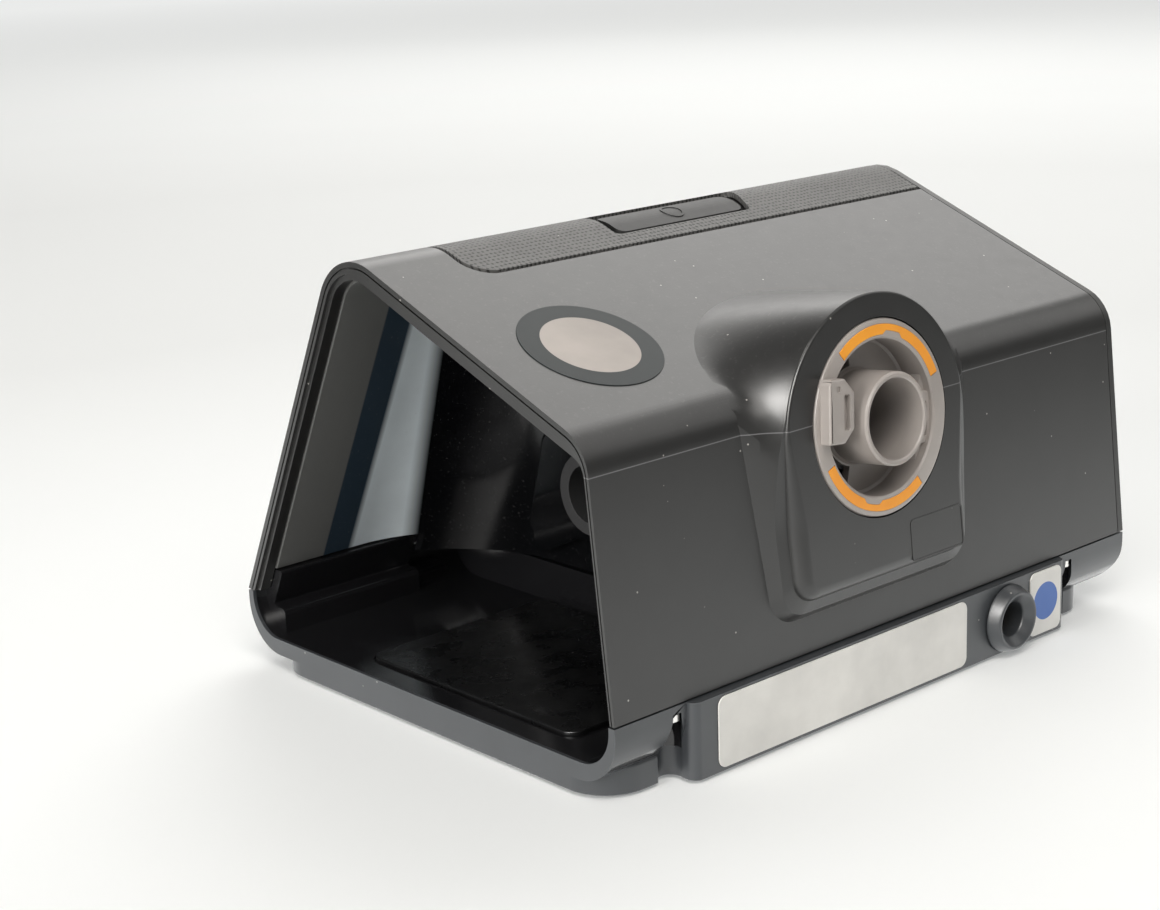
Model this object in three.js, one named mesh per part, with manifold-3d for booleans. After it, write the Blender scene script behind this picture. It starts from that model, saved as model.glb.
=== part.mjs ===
// A bedside CPAP machine with its water tub taken out, as an assembly of separate pieces.
// Frame in millimetres: +X to the open side of the tub bay, -Y to the display, +Y to the air
// outlet, +Z up, with the origin under the middle of the machine.
import * as THREE from "three";
import { mergeVertices } from "three/addons/utils/BufferGeometryUtils.js";
import Module from "manifold-3d";

const wasm = await Module();
wasm.setup();

// Clearances
const fitGap = 0.3; // between pieces that touch or nest
const seatGap = 0.3; // under a piece that rests on another
const stickerGap = 0.05;
const runningGap = 0.25; // between a turning piece and its bearing
const looseGap = 0.5; // round pieces that are pushed, opened or lifted out
const overrun = 1; // how far a cut runs past the face it opens
const cutSpan = 6; // length of a cut that clears a wall and its bulge
const weldDistance = 0.0005;
const arcSteps = 6; // straight steps in each rounded corner
const sharedEdgeShare = 0.5; // of an edge, for each of its two rounded ends
const roundSteps = 24; // straight steps in a full circle
const fineSteps = 40;

// Case: side section of the shell, and its ends
const seamHeight = 20.8; // lower edge of the case
const partingGap = 0.5; // dark line between the case and the base
const rearAtSeam = 68.4;
const shoulderBack = 61.9;
const shoulderRadius = 12;
const ridgeForward = 27;
const ridgeHeight = 121.2;
const shoulderShare = 0.703; // of the ridge's height
const shoulderHeight = ridgeHeight * shoulderShare;
const ridgeRadius = 16;
const frontAtSeam = 76.3;
const slopeLength = Math.hypot(frontAtSeam - ridgeForward, ridgeHeight - seamHeight);
const caseRight = 99.4; // open end, at the bay
const caseLeft = 96.8;
const caseWall = 2.2;
const tightestRadius = 0.5; // where an inset would use up a rounded corner
const rimDepth = 4; // thick end ring round the bay's mouth
const rimRear = 2;
const rimTop = 5.3;
const rimFront = 3.9;

// Outlet hood on the back of the case
const hoodCentre = 10.1;
const hoodBack = 69.8; // flat face round the outlet, at the outlet's height
const hoodHalf = 32.6;
const hoodHalfLow = 31.8;
const hoodLow = 35;
const hoodCorner = 6;
const springDrop = 1.6; // from the outlet down to where the arch starts
const hoodRise = 30.6; // from the outlet up to the top of the arch
const footHalf = 42; // where the hood's skirt meets the case
const footHalfLow = 36.6;
const footLow = 29.8;
const footCorner = 8;
const footSpringRise = 9.3;
const footRise = 25;
const hoodRoot = 8; // length of the skirt buried in the case
const skirtShares = [0, 0.3, 0.55, 0.78, 1]; // rings of the skirt from face to foot
const flarePower = 2.2; // how late the skirt flares
const hoodWall = 2.4;
const sideShares = [0.35, 0.7, 1]; // points up each straight side of the hood's outline
const archSteps = 9; // steps in each half of its arch
const rootShare = 0.7; // the root runs inwards at half a right angle

// Air outlet connector, on its own tilted axis
const outletX = 9.3;
const outletBack = 70.3;
const outletShare = 0.6188; // of the ridge's height
const outletHeight = ridgeHeight * outletShare;
const outletTilt = THREE.MathUtils.degToRad(6); // of the outlet and of the hood's face
const flangeRadius = 24.3;
const flangeDepth = 3;
const annulusRadius = 19.3; // inner wall of the ring
const sleeveRadius = 21.2;
const sleeveDepth = 10.5;
const webThickness = 2;
const airTubeRadius = 11.5;
const airTubeBore = 10;
const airTubeProud = 4.6;
const airTubeDepth = 22;
const collarWall = 1.8;
const collarDepth = 9;
const bandInner = 20.5;
const bandOuter = 23.3;
const bandDepth = 0.8;
const bandSteps = 10;
const upperBandStart = THREE.MathUtils.degToRad(32);
const upperBandEnd = THREE.MathUtils.degToRad(131);
const lowerBandStart = THREE.MathUtils.degToRad(217);
const lowerBandEnd = THREE.MathUtils.degToRad(319);
const contactProud = 3.2;
const contactNear = 13.6; // contact block, measured from the tube's axis
const contactFar = 22.4;
const contactTop = 11;
const contactBottom = 4.6;
const contactChamfer = 3.4;
const contactSlotWidth = 2.3;
const contactSlotDepth = 1.5;
const contactSlotTop = 7.2;
const contactSlotBottom = 1.4;
const keyNear = 14.6; // slotted key block opposite the contacts
const keyTop = 5;
const keyBottom = 8;
const keyRecess = 1.4;
const keySlotNear = 16.6;
const keySlotWidth = 2.2;
const elbowBore = 10;
const elbowWall = 1.8;
const elbowReach = 18; // how far the elbow keeps its direction at each end
const elbowSides = 18;
const elbowSteps = 10;

// Tub bay
const bayWallX = 29; // inner face of the bay's end wall
const linerWall = 2;
const linerLow = 21.3; // lower edge of the liner
const bayCornerRadius = 38;
const bayRearRadius = 8;
const bayFloor = 9;
const bayFloorThickness = 2.2;
const bayFloorRadius = 10;
const portPadDepth = 4;
const portHeight = 46;
const portRadius = 9;
const inletPortY = -8;
const outletPortY = 24;
const portPadTop = 61;
const portPadFront = 29; // pad's front edge at its top, towards the display
const portPadKnee = 36.8; // where its leaning front edge turns back
const portPadKneeHeight = 33;
const portPadToe = 33.8; // its lowest corner
const portPadToeHeight = 22.8;
const portPadHeel = 16.8; // where its lower edge levels out
const portPadHeelHeight = 30.7;
const portPadRear = 39;
const portPadCorner = 6;
const portPadKneeRadius = 3;
const portSteps = 28;
const sealOuter = 11.4;
const sealBore = 8;
const sealProud = 2.6;

// Guide rail at the front of the bay
const railLeft = 49;
const railTop = 26.5;
const railDepth = 4.6; // width of its top
const railInset = 1.3; // of its front face, in the wall of the base
const railFoot = frontAtSeam - railInset;
const railNotchHeight = 16.2;
const railWidth = 9; // at its foot
const railBead = railFoot - railWidth;
const railStep = 5; // from the bead to the groove under its top
const railNotch = railBead + railStep;
const railBeadTop = 15.6;
const railBeadRadius = 1.6;

// Base tray
const baseUnderside = 1; // above the surface, on the rubber feet
const dishBottom = 4.6;
const dishRadius = 13;
const dishEndRadius = 10;
const baseWall = 2.2;
const plinthLeft = 85;
const plinthFront = 66;
const plinthRear = 64.6;
const plinthTop = 8;
const plinthCorner = 8;
const blockLeft = 66.9;
const blockRight = 76.6;
const blockBack = 70.8;
const blockDepth = 18;
const blockCorner = 2.5;

// Heater
const plateNear = 91.3; // edge towards the bay's mouth
const plateFar = 31.6;
const plateFront = 33.8;
const plateRear = 44.7;
const plateTop = 10;
const plateThickness = 1.6;
const plateCorner = 4;
const elementThickness = 0.5;
const elementInset = 13;
const springInset = 6.5;
const springRadius = 3.2;
const springWire = 0.45;
const springTurns = 3;
const springSteps = 10; // steps in one turn
const springSides = 5;

// Feet and screws
const footRadius = 6;
const footThickness = 2.1;
const footPocket = 1.3;
const footRightX = 84;
const footLeftX = 74;
const footY = 52;
const screwRadius = 1.3;
const screwLength = 7;
const screwHeadRadius = 2.6;
const screwHeadHeight = 1.8;
const screwPocketRadius = 3.2;
const screwLip = 2; // thickness of the lip that each screw clamps
const screwRightX = 79.6;
const screwFrontX = 20.2;
const screwLeftX = 71.4;
const screwRearInset = 2.9; // screw axis in from the case's rear face
const screwFrontInset = 5.2;
const bossRadius = 2.8;
const bossHeight = 5.6;
const towerWall = 1.2; // round the pocket that each screw goes up

// Power inlet
const inletX = -41;
const inletHeight = 10.3;
const inletBaseRadius = 9.2;
const inletFaceRadius = 8;
const inletProud = 3.8;
const inletMouthRadius = 7;
const inletBore = 4.6;
const inletFunnel = 2;
const inletSteps = 32;
const inletDepth = 12;
const inletSleeveRadius = 6.4;
const contactDiscDepth = 2;
const contactPinRadius = 0.7;
const contactPinLength = 3;
const pinTurnShares = [0, 2 / 3, 4 / 3]; // of half a turn
const contactPinRing = 2.4;

// Labels
const labelThickness = 0.35;
const labelLeft = 23.5;
const labelRight = 68.8;
const labelLow = 1.9;
const labelTop = 19.7;
const labelCorner = 1.6;
const noticeNear = 50.6;
const noticeFar = 64.2;
const roundLabelRadius = 18;
const roundLabelX = 68.3;
const roundLabelY = 30.6;

// Top panel, and the start and stop button in it
const stripThickness = 1.5;
const stripEnd = 73.6;
const stripRear = 3.6;
const stripFront = 32.5;
const stripCorner = 8;
const buttonLeft = 28;
const buttonRight = 19;
const buttonRear = 10.2;
const buttonFront = 20.6;
const buttonSunk = 0.7;
const buttonCorner = 2.6;
const buttonTravel = 0.5;
const wellWall = 1.6;
const wellDepth = 15.8; // below the ridge
const wellFloor = ridgeHeight - wellDepth;
const recessLeft = 33.5;
const recessRight = 22;
const recessMargin = 1.8;
const recessSlant = 5;
const boardThickness = 1.6;
const switchSize = 6;
const switchHeight = 3.4;
const plungerRadius = 1.7;
const plungerHeight = 1.2;

// Display side, measured along the front slope
const facadeThickness = 2;
const facadeLeft = 92;
const facadeRight = 44;
const facadeLow = 6;
const facadeTopShare = 0.8315; // of the front slope's length
const facadeTop = slopeLength * facadeTopShare;
const facadeCorner = 5;
const facadeLedge = 4;
const ledgeThickness = 2;
const screenX = -24;
const screenUpShare = 0.59;
const screenUp = slopeLength * screenUpShare;
const screenWidth = 58;
const screenHeightShare = 0.3576;
const screenHeight = slopeLength * screenHeightShare;
const screenCorner = 2;
const lensThickness = 1.2;
const moduleDepth = 4;
const moduleMargin = 2;
const dialX = -4;
const dialUpShare = 0.2503;
const dialUp = slopeLength * dialUpShare;
const dialRadiusShare = 0.143;
const dialRadius = slopeLength * dialRadiusShare;
const dialHeight = 6;
const dialRim = 2;
const dialHub = 5.5;
const dialSkin = 1.4;
const dialGap = 0.8;
const shaftRadius = 3;
const dialTravel = 0.5;
const encoderSize = 12;
const homeX = -42;
const homeRadius = 4.6;
const homeTravel = 0.4;
const homeProud = 0.5;
const homeRim = 1; // rim that keeps the button behind the display panel
const controlDepth = 10.4; // front face of the control board behind the front face
const controlMargin = 4;

// Side panel at the left end
const panelThickness = 2.4;
const panelBulge = 2.6;
const bulgeInsets = [0, 2.5, 8, 16]; // rings of the bulged face, in from its edge
const bulgeShares = [0, 0.5, 0.85, 1]; // how far each ring stands out
const slotLow = 36.5;
const slotTop = 52;
const slotFront = 58.6;
const slotRear = 64;
const filterFront = 18;
const filterRear = 54;
const filterLow = 31;
const filterTop = 61;
const filterDepth = 10;
const filterThickness = 8;
const coverCorner = 3;
const coverSeat = 0.6; // where a cover's recess ends, in from the panel's edge
const coverLip = 2.4; // step that the cover closes on
const trayWall = 1.6;
const notchRadius = 4;
const cardLow = 30;
const cardTop = 40;
const cardFront = -52;
const cardRear = -22;
const cardSocketLength = 28;
const cardSocketHeight = 3.2;
const cardSlotHeight = 2.2;
const cardSlotFloor = 0.5;
const accessoryLow = 52;
const accessoryTop = 68;
const accessoryFront = -30;
const accessoryRear = -8;
const accessoryDepth = 14;

// Blower, its mount and the muffler under it
const blowerX = -40;
const blowerY = 16;
const voluteRadius = 33;
const voluteWall = 2;
const voluteLow = 34;
const voluteSplit = 55.6;
const lidThickness = 3;
const eyeRadius = 12;
const nozzleRadius = 9;
const nozzleWall = 1.8;
const nozzleEnd = 3;
const ductStart = -4;
const impellerRadius = 27;
const impellerDisc = 1.6;
const impellerHub = 5;
const impellerClearance = 1.2;
const bladeCount = 11;
const bladeRoot = 2.5;
const bladeHeight = 14;
const bladeThickness = 1.2;
const bladeSweep = THREE.MathUtils.degToRad(38);
const bladeSteps = 5;
const motorShaftRadius = 2;
const motorCupRadius = 19;
const motorCupWall = 1.8;
const motorCupHeight = 17;
const statorInner = 8.6;
const statorHeight = 9;
const statorRim = 2;
const statorTeeth = 9;
const toothSteps = 3;
const toothShare = 0.55; // part of each tooth's pitch that is metal
const magnetRadius = 7.8;
const bearingRadius = 5;
const bearingHeight = 2.6;
const motorCapThickness = 2;
const capHolderWall = 1.5;
const mountThickness = 2.6;
const mountFins = 8;
const finDepth = 2.5;
const mufflerHalf = 34;
const mufflerLow = 3.6;
const mufflerWall = 1.6;
const foamInset = 3;
const ductWall = 1.6;
const snorkelWidth = 18;
const snorkelLow = 20;

// Boards
const mainBoardFront = 62;
const mainBoardRear = 24;
const mainBoardLeft = 82;
const mainBoardRight = 22;
const mainBoardUnder = 8.6;
const standoffInset = 4;
const standoffRadius = 3;

// Frames

const X = new THREE.Vector3(1, 0, 0);
const Y = new THREE.Vector3(0, 1, 0);
const Z = new THREE.Vector3(0, 0, 1);

function frameAt(origin, u, v, w) {
  return new THREE.Matrix4().makeBasis(u, v, w).setPosition(origin);
}

// Shapes given as Y and Z, grown along +X from x
function frameX(x) {
  return frameAt(new THREE.Vector3(x, 0, 0), Y, Z, X);
}

// Shapes given as X and Z, grown along -Y from y
function frameY(y) {
  return frameAt(new THREE.Vector3(0, y, 0), X, Z, Y.clone().negate());
}

// Shapes given as X and Y, grown along +Z from z
function frameZ(z) {
  return frameAt(new THREE.Vector3(0, 0, z), X, Y, Z);
}

function shifted(frame, u, v, w) {
  return frame.clone().multiply(new THREE.Matrix4().makeTranslation(u, v, w));
}

// Solids

function solid(geometry) {
  const bare = new THREE.BufferGeometry();
  bare.setAttribute("position", geometry.getAttribute("position"));
  bare.setIndex(geometry.index);
  const merged = mergeVertices(bare, weldDistance);
  const index = merged.index.array;
  const kept = [];
  for (let i = 0; i < index.length; i += 3) {
    const [a, b, c] = [index[i], index[i + 1], index[i + 2]];
    if (a !== b && b !== c && c !== a) kept.push(a, b, c);
  }
  return new wasm.Manifold(
    new wasm.Mesh({
      numProp: 3,
      vertProperties: new Float32Array(merged.attributes.position.array),
      triVerts: new Uint32Array(kept),
    }),
  );
}

function joined(...solids) {
  return solids.reduce((sum, next) => sum.add(next));
}

function cut(body, ...tools) {
  return tools.reduce((left, tool) => left.subtract(tool), body);
}

function toGeometry(manifold) {
  const mesh = manifold.getMesh();
  const places = new Float32Array((mesh.vertProperties.length / mesh.numProp) * 3);
  for (let i = 0; i < places.length / 3; i++) {
    places.set(mesh.vertProperties.subarray(i * mesh.numProp, i * mesh.numProp + 3), i * 3);
  }
  const geometry = new THREE.BufferGeometry();
  geometry.setAttribute("position", new THREE.BufferAttribute(places, 3));
  geometry.setIndex(new THREE.BufferAttribute(new Uint32Array(mesh.triVerts), 1));
  const flat = geometry.toNonIndexed();
  flat.computeVertexNormals();
  return flat;
}

// A flat outline grown along the frame's third axis
function prism(outline, frame, length, holes = []) {
  const shape = new THREE.Shape(outline);
  shape.holes = holes.map((hole) => new THREE.Path(hole));
  const geometry = new THREE.ExtrudeGeometry(shape, { depth: length, bevelEnabled: false });
  return solid(geometry.applyMatrix4(frame));
}

function alongX(outline, from, to) {
  return prism(outline, frameX(from), to - from);
}

function alongY(outline, from, to) {
  return prism(outline, frameY(to), to - from);
}

function alongZ(outline, from, to) {
  return prism(outline, frameZ(from), to - from);
}

function box(left, right, front, rear, low, top) {
  return alongZ(rectangle(left, right, front, rear), low, top);
}

// A profile of radius and height pairs, listed up its outer side, turned about the third axis
function revolve(profile, frame, steps = roundSteps) {
  const points = profile.map(([radius, height]) => new THREE.Vector2(radius, height));
  const geometry = new THREE.LatheGeometry(points, steps);
  geometry.rotateX(Math.PI / 2);
  return solid(geometry.applyMatrix4(frame));
}

function rod(radius, frame, length, steps = roundSteps) {
  return revolve([[0, 0], [radius, 0], [radius, length], [0, length]], frame, steps);
}

function ring(outer, inner, frame, length, steps = roundSteps) {
  const profile = [[inner, 0], [outer, 0], [outer, length], [inner, length], [inner, 0]];
  return revolve(profile, frame, steps);
}

// A skin through rings of equally many points, closed by a fan at each end. Each ring turns
// right-handedly about the way from the first ring to the last.
function loft(rings) {
  const count = rings[0].length;
  const places = [];
  for (const points of rings) for (const point of points) places.push(point.x, point.y, point.z);
  const index = [];
  for (let i = 0; i + 1 < rings.length; i++) {
    for (let j = 0; j < count; j++) {
      const a = i * count + j;
      const b = i * count + ((j + 1) % count);
      index.push(a, b, b + count, a, b + count, a + count);
    }
  }
  for (const last of [false, true]) {
    const points = last ? rings[rings.length - 1] : rings[0];
    const start = last ? (rings.length - 1) * count : 0;
    const middle = new THREE.Vector3();
    for (const point of points) middle.addScaledVector(point, 1 / count);
    const centre = places.length / 3;
    places.push(middle.x, middle.y, middle.z);
    for (let j = 0; j < count; j++) {
      const a = start + j;
      const b = start + ((j + 1) % count);
      if (last) index.push(a, b, centre);
      else index.push(b, a, centre);
    }
  }
  const geometry = new THREE.BufferGeometry();
  geometry.setAttribute("position", new THREE.Float32BufferAttribute(places, 3));
  geometry.setIndex(index);
  return solid(geometry);
}

// Outlines

function point(a, b) {
  return new THREE.Vector2(a, b);
}

function rectangle(left, right, low, top) {
  return [point(left, low), point(right, low), point(right, top), point(left, top)];
}

// Corners given as [a, b, radius], each rounded by an arc where its radius isn't zero
function rounded(corners) {
  const outline = [];
  corners.forEach(([a, b, radius], i) => {
    const here = point(a, b);
    const before = corners[(i + corners.length - 1) % corners.length];
    const after = corners[(i + 1) % corners.length];
    if (!radius) {
      outline.push(here);
      return;
    }
    const back = point(before[0], before[1]).sub(here);
    const ahead = point(after[0], after[1]).sub(here);
    const room = Math.min(back.length() * (before[2] ? sharedEdgeShare : 1), ahead.length() * (after[2] ? sharedEdgeShare : 1));
    back.normalize();
    ahead.normalize();
    const angle = Math.acos(THREE.MathUtils.clamp(back.dot(ahead), -1, 1)) / 2;
    const reach = Math.min(radius / Math.tan(angle), room);
    const used = reach * Math.tan(angle);
    const middle = back.clone().add(ahead).normalize().multiplyScalar(used / Math.sin(angle)).add(here);
    const start = here.clone().addScaledVector(back, reach).sub(middle);
    const end = here.clone().addScaledVector(ahead, reach).sub(middle);
    const turn = Math.atan2(start.cross(end), start.dot(end));
    for (let k = 0; k <= arcSteps; k++) {
      outline.push(start.clone().rotateAround(point(0, 0), (turn * k) / arcSteps).add(middle));
    }
  });
  return outline;
}

function roundedRectangle(left, right, low, top, radius) {
  return rounded([[left, low, radius], [right, low, radius], [right, top, radius], [left, top, radius]]);
}

function circle(radius, a = 0, b = 0, steps = roundSteps) {
  const outline = [];
  for (let i = 0; i < steps; i++) {
    const angle = (2 * Math.PI * i) / steps;
    outline.push(point(a + radius * Math.cos(angle), b + radius * Math.sin(angle)));
  }
  return outline;
}

// A bent bar between two radii and two angles
function arcBar(inner, outer, start, end, steps) {
  const outline = [];
  for (let i = 0; i <= steps; i++) {
    const angle = start + ((end - start) * i) / steps;
    outline.push(point(outer * Math.cos(angle), outer * Math.sin(angle)));
  }
  for (let i = steps; i >= 0; i--) {
    const angle = start + ((end - start) * i) / steps;
    outline.push(point(inner * Math.cos(angle), inner * Math.sin(angle)));
  }
  return outline;
}

// The case's side section, moved in from each of its three faces

function insetLine(from, to, inset) {
  const along = to.clone().sub(from).normalize();
  return { at: from.clone().add(point(-along.y, along.x).multiplyScalar(inset)), along };
}

function meet(first, second) {
  const apart = second.at.clone().sub(first.at);
  const share = apart.cross(second.along) / first.along.cross(second.along);
  return first.at.clone().addScaledVector(first.along, share);
}

const rearFoot = point(rearAtSeam, seamHeight);
const shoulder = point(shoulderBack, shoulderHeight);
const ridge = point(-ridgeForward, ridgeHeight);
const frontFoot = point(-frontAtSeam, seamHeight);

function caseOutline(insets, bottom) {
  const rear = insetLine(rearFoot, shoulder, insets.rear);
  const top = insetLine(shoulder, ridge, insets.top);
  const front = insetLine(ridge, frontFoot, insets.front);
  const floor = { at: point(0, bottom), along: point(1, 0) };
  const shoulderCorner = meet(rear, top);
  const ridgeCorner = meet(top, front);
  const rearCorner = meet(floor, rear);
  const frontCorner = meet(front, floor);
  return rounded([
    [rearCorner.x, rearCorner.y, 0],
    [shoulderCorner.x, shoulderCorner.y, Math.max(tightestRadius, shoulderRadius - insets.top)],
    [ridgeCorner.x, ridgeCorner.y, Math.max(tightestRadius, ridgeRadius - insets.top)],
    [frontCorner.x, frontCorner.y, 0],
  ]);
}

function evenInset(inset) {
  return { rear: inset, top: inset, front: inset };
}

// How far back the case's rear wall or slope stands at a height, at an inset
function backAt(height, inset) {
  const outline = caseOutline(evenInset(inset), seamHeight - overrun);
  for (let i = 0; i + 1 < outline.length; i++) {
    const [a, b] = [outline[i], outline[i + 1]];
    if (a.y <= height && height <= b.y) return a.x + ((b.x - a.x) * (height - a.y)) / (b.y - a.y);
  }
  return outline[0].x;
}

// How far in front the case's display side stands at a height, at an inset
function frontAt(height, inset) {
  const line = insetLine(ridge, frontFoot, inset);
  return meet(line, { at: point(0, height), along: point(1, 0) }).x;
}

// The front slope's own frame: first axis +X, second up the slope, third out of the machine
const slopeUp = ridge.clone().sub(frontFoot).normalize();
const frontFrame = frameAt(
  new THREE.Vector3(0, frontFoot.x, frontFoot.y),
  X,
  new THREE.Vector3(0, slopeUp.x, slopeUp.y),
  new THREE.Vector3(0, -slopeUp.y, slopeUp.x),
);

// The rear slope's own frame: first axis +X, second up the slope, third out of the machine
const roofUp = ridge.clone().sub(shoulder).normalize();
const roofFrame = frameAt(
  new THREE.Vector3(0, shoulder.x, shoulder.y),
  X.clone().negate(),
  new THREE.Vector3(0, roofUp.x, roofUp.y),
  new THREE.Vector3(0, roofUp.y, -roofUp.x),
);

// The outlet's own frame: first axis -X, second up its face, third out along the air tube
const outletFrame = frameAt(
  new THREE.Vector3(outletX, outletBack, outletHeight),
  X.clone().negate(),
  new THREE.Vector3(0, -Math.sin(outletTilt), Math.cos(outletTilt)),
  new THREE.Vector3(0, Math.cos(outletTilt), Math.sin(outletTilt)),
);

// The power inlet's own frame: third axis out along +Y
const inletFrame = frameAt(
  new THREE.Vector3(inletX, blockBack, inletHeight),
  X.clone().negate(),
  Z,
  Y,
);

// Outlet hood: rings from the skirt's buried root to the flat face

function hoodOutline(half, halfLow, low, corner, spring, top) {
  const side = [];
  for (let i = 0; i <= arcSteps; i++) {
    const angle = (Math.PI / 2) * (i / arcSteps);
    side.push([halfLow - corner + corner * Math.sin(angle), low + corner - corner * Math.cos(angle)]);
  }
  for (const share of sideShares) {
    side.push([halfLow + (half - halfLow) * share, low + corner + (spring - low - corner) * share]);
  }
  for (let i = 1; i < archSteps; i++) {
    const angle = (Math.PI / 2) * (i / archSteps);
    side.push([half * Math.cos(angle), spring + (top - spring) * Math.sin(angle)]);
  }
  const left = side.map(([x, z]) => [hoodCentre - x, z]);
  const right = side.map(([x, z]) => [hoodCentre + x, z]).reverse();
  return [[hoodCentre, low], ...left, [hoodCentre, top], ...right];
}

function hoodRings(inset) {
  const face = hoodOutline(
    hoodHalf - inset,
    hoodHalfLow - inset,
    hoodLow + inset,
    hoodCorner,
    outletHeight - springDrop,
    outletHeight + hoodRise - inset,
  );
  const foot = hoodOutline(
    footHalf - inset,
    footHalfLow - inset,
    footLow + inset,
    footCorner,
    outletHeight + footSpringRise,
    outletHeight + footRise - inset,
  );
  const rings = skirtShares.map((share) =>
    face.map(([faceX, faceZ], i) => {
      const [footX, footZ] = foot[i];
      const rise = Math.max(0, (faceZ - outletHeight + springDrop) / (hoodRise + springDrop));
      const spread = share ** (flarePower + (1 - flarePower) * rise);
      const start = hoodBack - inset - (faceZ - outletHeight) * Math.tan(outletTilt);
      const back = start + (backAt(footZ, inset) - start) * share;
      return new THREE.Vector3(faceX + (footX - faceX) * spread, back, faceZ + (footZ - faceZ) * spread);
    }),
  );
  const root = rings[rings.length - 1].map((at) =>
    at.clone().add(new THREE.Vector3(0, -hoodRoot * rootShare, -hoodRoot * rootShare)),
  );
  return [root, ...rings.reverse()];
}

// Materials

function plastic(color, roughness) {
  return new THREE.MeshStandardMaterial({ color, roughness, metalness: 0 });
}

function metal(color, roughness) {
  return new THREE.MeshStandardMaterial({ color, roughness, metalness: 1 });
}

const machine = new THREE.Group();

function add(name, body, material) {
  const mesh = new THREE.Mesh(toGeometry(body), material);
  mesh.name = name;
  machine.add(mesh);
  return mesh;
}

// Screws: places shared by the base's pockets, the case's bosses and the screws themselves
const screwRearY = rearAtSeam - screwRearInset;
const screwFrontY = -frontAtSeam + screwFrontInset;
const screwPlaces = [
  { name: "case_screw_rear_right", x: screwRightX, y: screwRearY },
  { name: "case_screw_rear_left", x: -screwLeftX, y: screwRearY },
  { name: "case_screw_front_right", x: screwFrontX, y: screwFrontY },
  { name: "case_screw_front_left", x: -screwLeftX, y: screwFrontY },
];
const baseTop = seamHeight - partingGap;
const screwSeat = baseTop - screwLip;

function atXYZ(x, y, z) {
  return frameAt(new THREE.Vector3(x, y, z), X, Y, Z);
}

function screwBoss({ x, y }) {
  return rod(bossRadius, atXYZ(x, y, seamHeight), bossHeight + fitGap);
}

function screwHole({ x, y }) {
  return rod(screwRadius + fitGap, atXYZ(x, y, seamHeight - overrun), bossHeight + overrun, arcSteps * 2);
}

function screw({ name, x, y }) {
  const low = screwSeat - seatGap - screwHeadHeight;
  const head = rod(screwHeadRadius, atXYZ(x, y, low), screwHeadHeight, arcSteps * 3);
  const shank = rod(screwRadius, atXYZ(x, y, low + screwHeadHeight / 2), screwLength, arcSteps * 2);
  add(name, joined(head, shank), metal(0xd8d6d0, 0.35));
}

// Places in the base, in from the edges of what they carry
function fourPlaces(left, right, front, rear) {
  return [
    { x: right, y: rear },
    { x: left, y: rear },
    { x: right, y: front },
    { x: left, y: front },
  ];
}

const footPlaces = fourPlaces(-footLeftX, footRightX, -footY, footY);
const springPlaces = fourPlaces(
  plateFar + springInset,
  plateNear - springInset,
  -plateFront + springInset,
  plateRear - springInset,
);
const boardCorners = fourPlaces(
  -mainBoardLeft + standoffInset,
  mainBoardRight - standoffInset,
  -mainBoardFront + standoffInset,
  -mainBoardRear - standoffInset,
);

const caseEnd = -caseLeft + panelThickness; // open left end of the case's shell
const stripSeat = stripThickness + fitGap; // depth of the recess for the top panel
const roofInset = stripSeat + caseWall; // under side of the case below the top panel
const high = ridgeHeight + overrun; // above every piece of the case

// A layer of the case's own skin between two insets, within a plan outline
function skinLayer(outer, inner, plan) {
  const whole = alongX(caseOutline(outer, seamHeight), -caseLeft - overrun, caseRight);
  const core = alongX(caseOutline(inner, seamHeight - overrun), -caseLeft - cutSpan, caseRight + overrun);
  return whole.subtract(core).intersect(alongZ(plan, shoulderHeight, high));
}

function stripPlan(gap) {
  return rounded([
    [caseEnd - cutSpan, -stripFront - gap, 0],
    [stripEnd + gap, -stripFront - gap, 0],
    [stripEnd + gap, -stripRear + gap, stripCorner],
    [caseEnd - cutSpan, -stripRear + gap, 0],
  ]);
}

// The start and stop button's plan, grown by a gap
function buttonPlan(gap) {
  return roundedRectangle(
    -buttonLeft - gap,
    buttonRight + gap,
    -buttonFront - gap,
    -buttonRear + gap,
    buttonCorner + gap,
  );
}

const startBoardTop = wellFloor + seatGap + boardThickness;
const startPlungerTop = startBoardTop + switchHeight + plungerHeight;
const buttonUnder = startPlungerTop + buttonTravel + seatGap;

function facadeOutline(gap) {
  return roundedRectangle(
    -facadeLeft - gap,
    facadeRight + gap,
    facadeLow - gap,
    facadeTop + gap,
    facadeCorner,
  );
}

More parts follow.
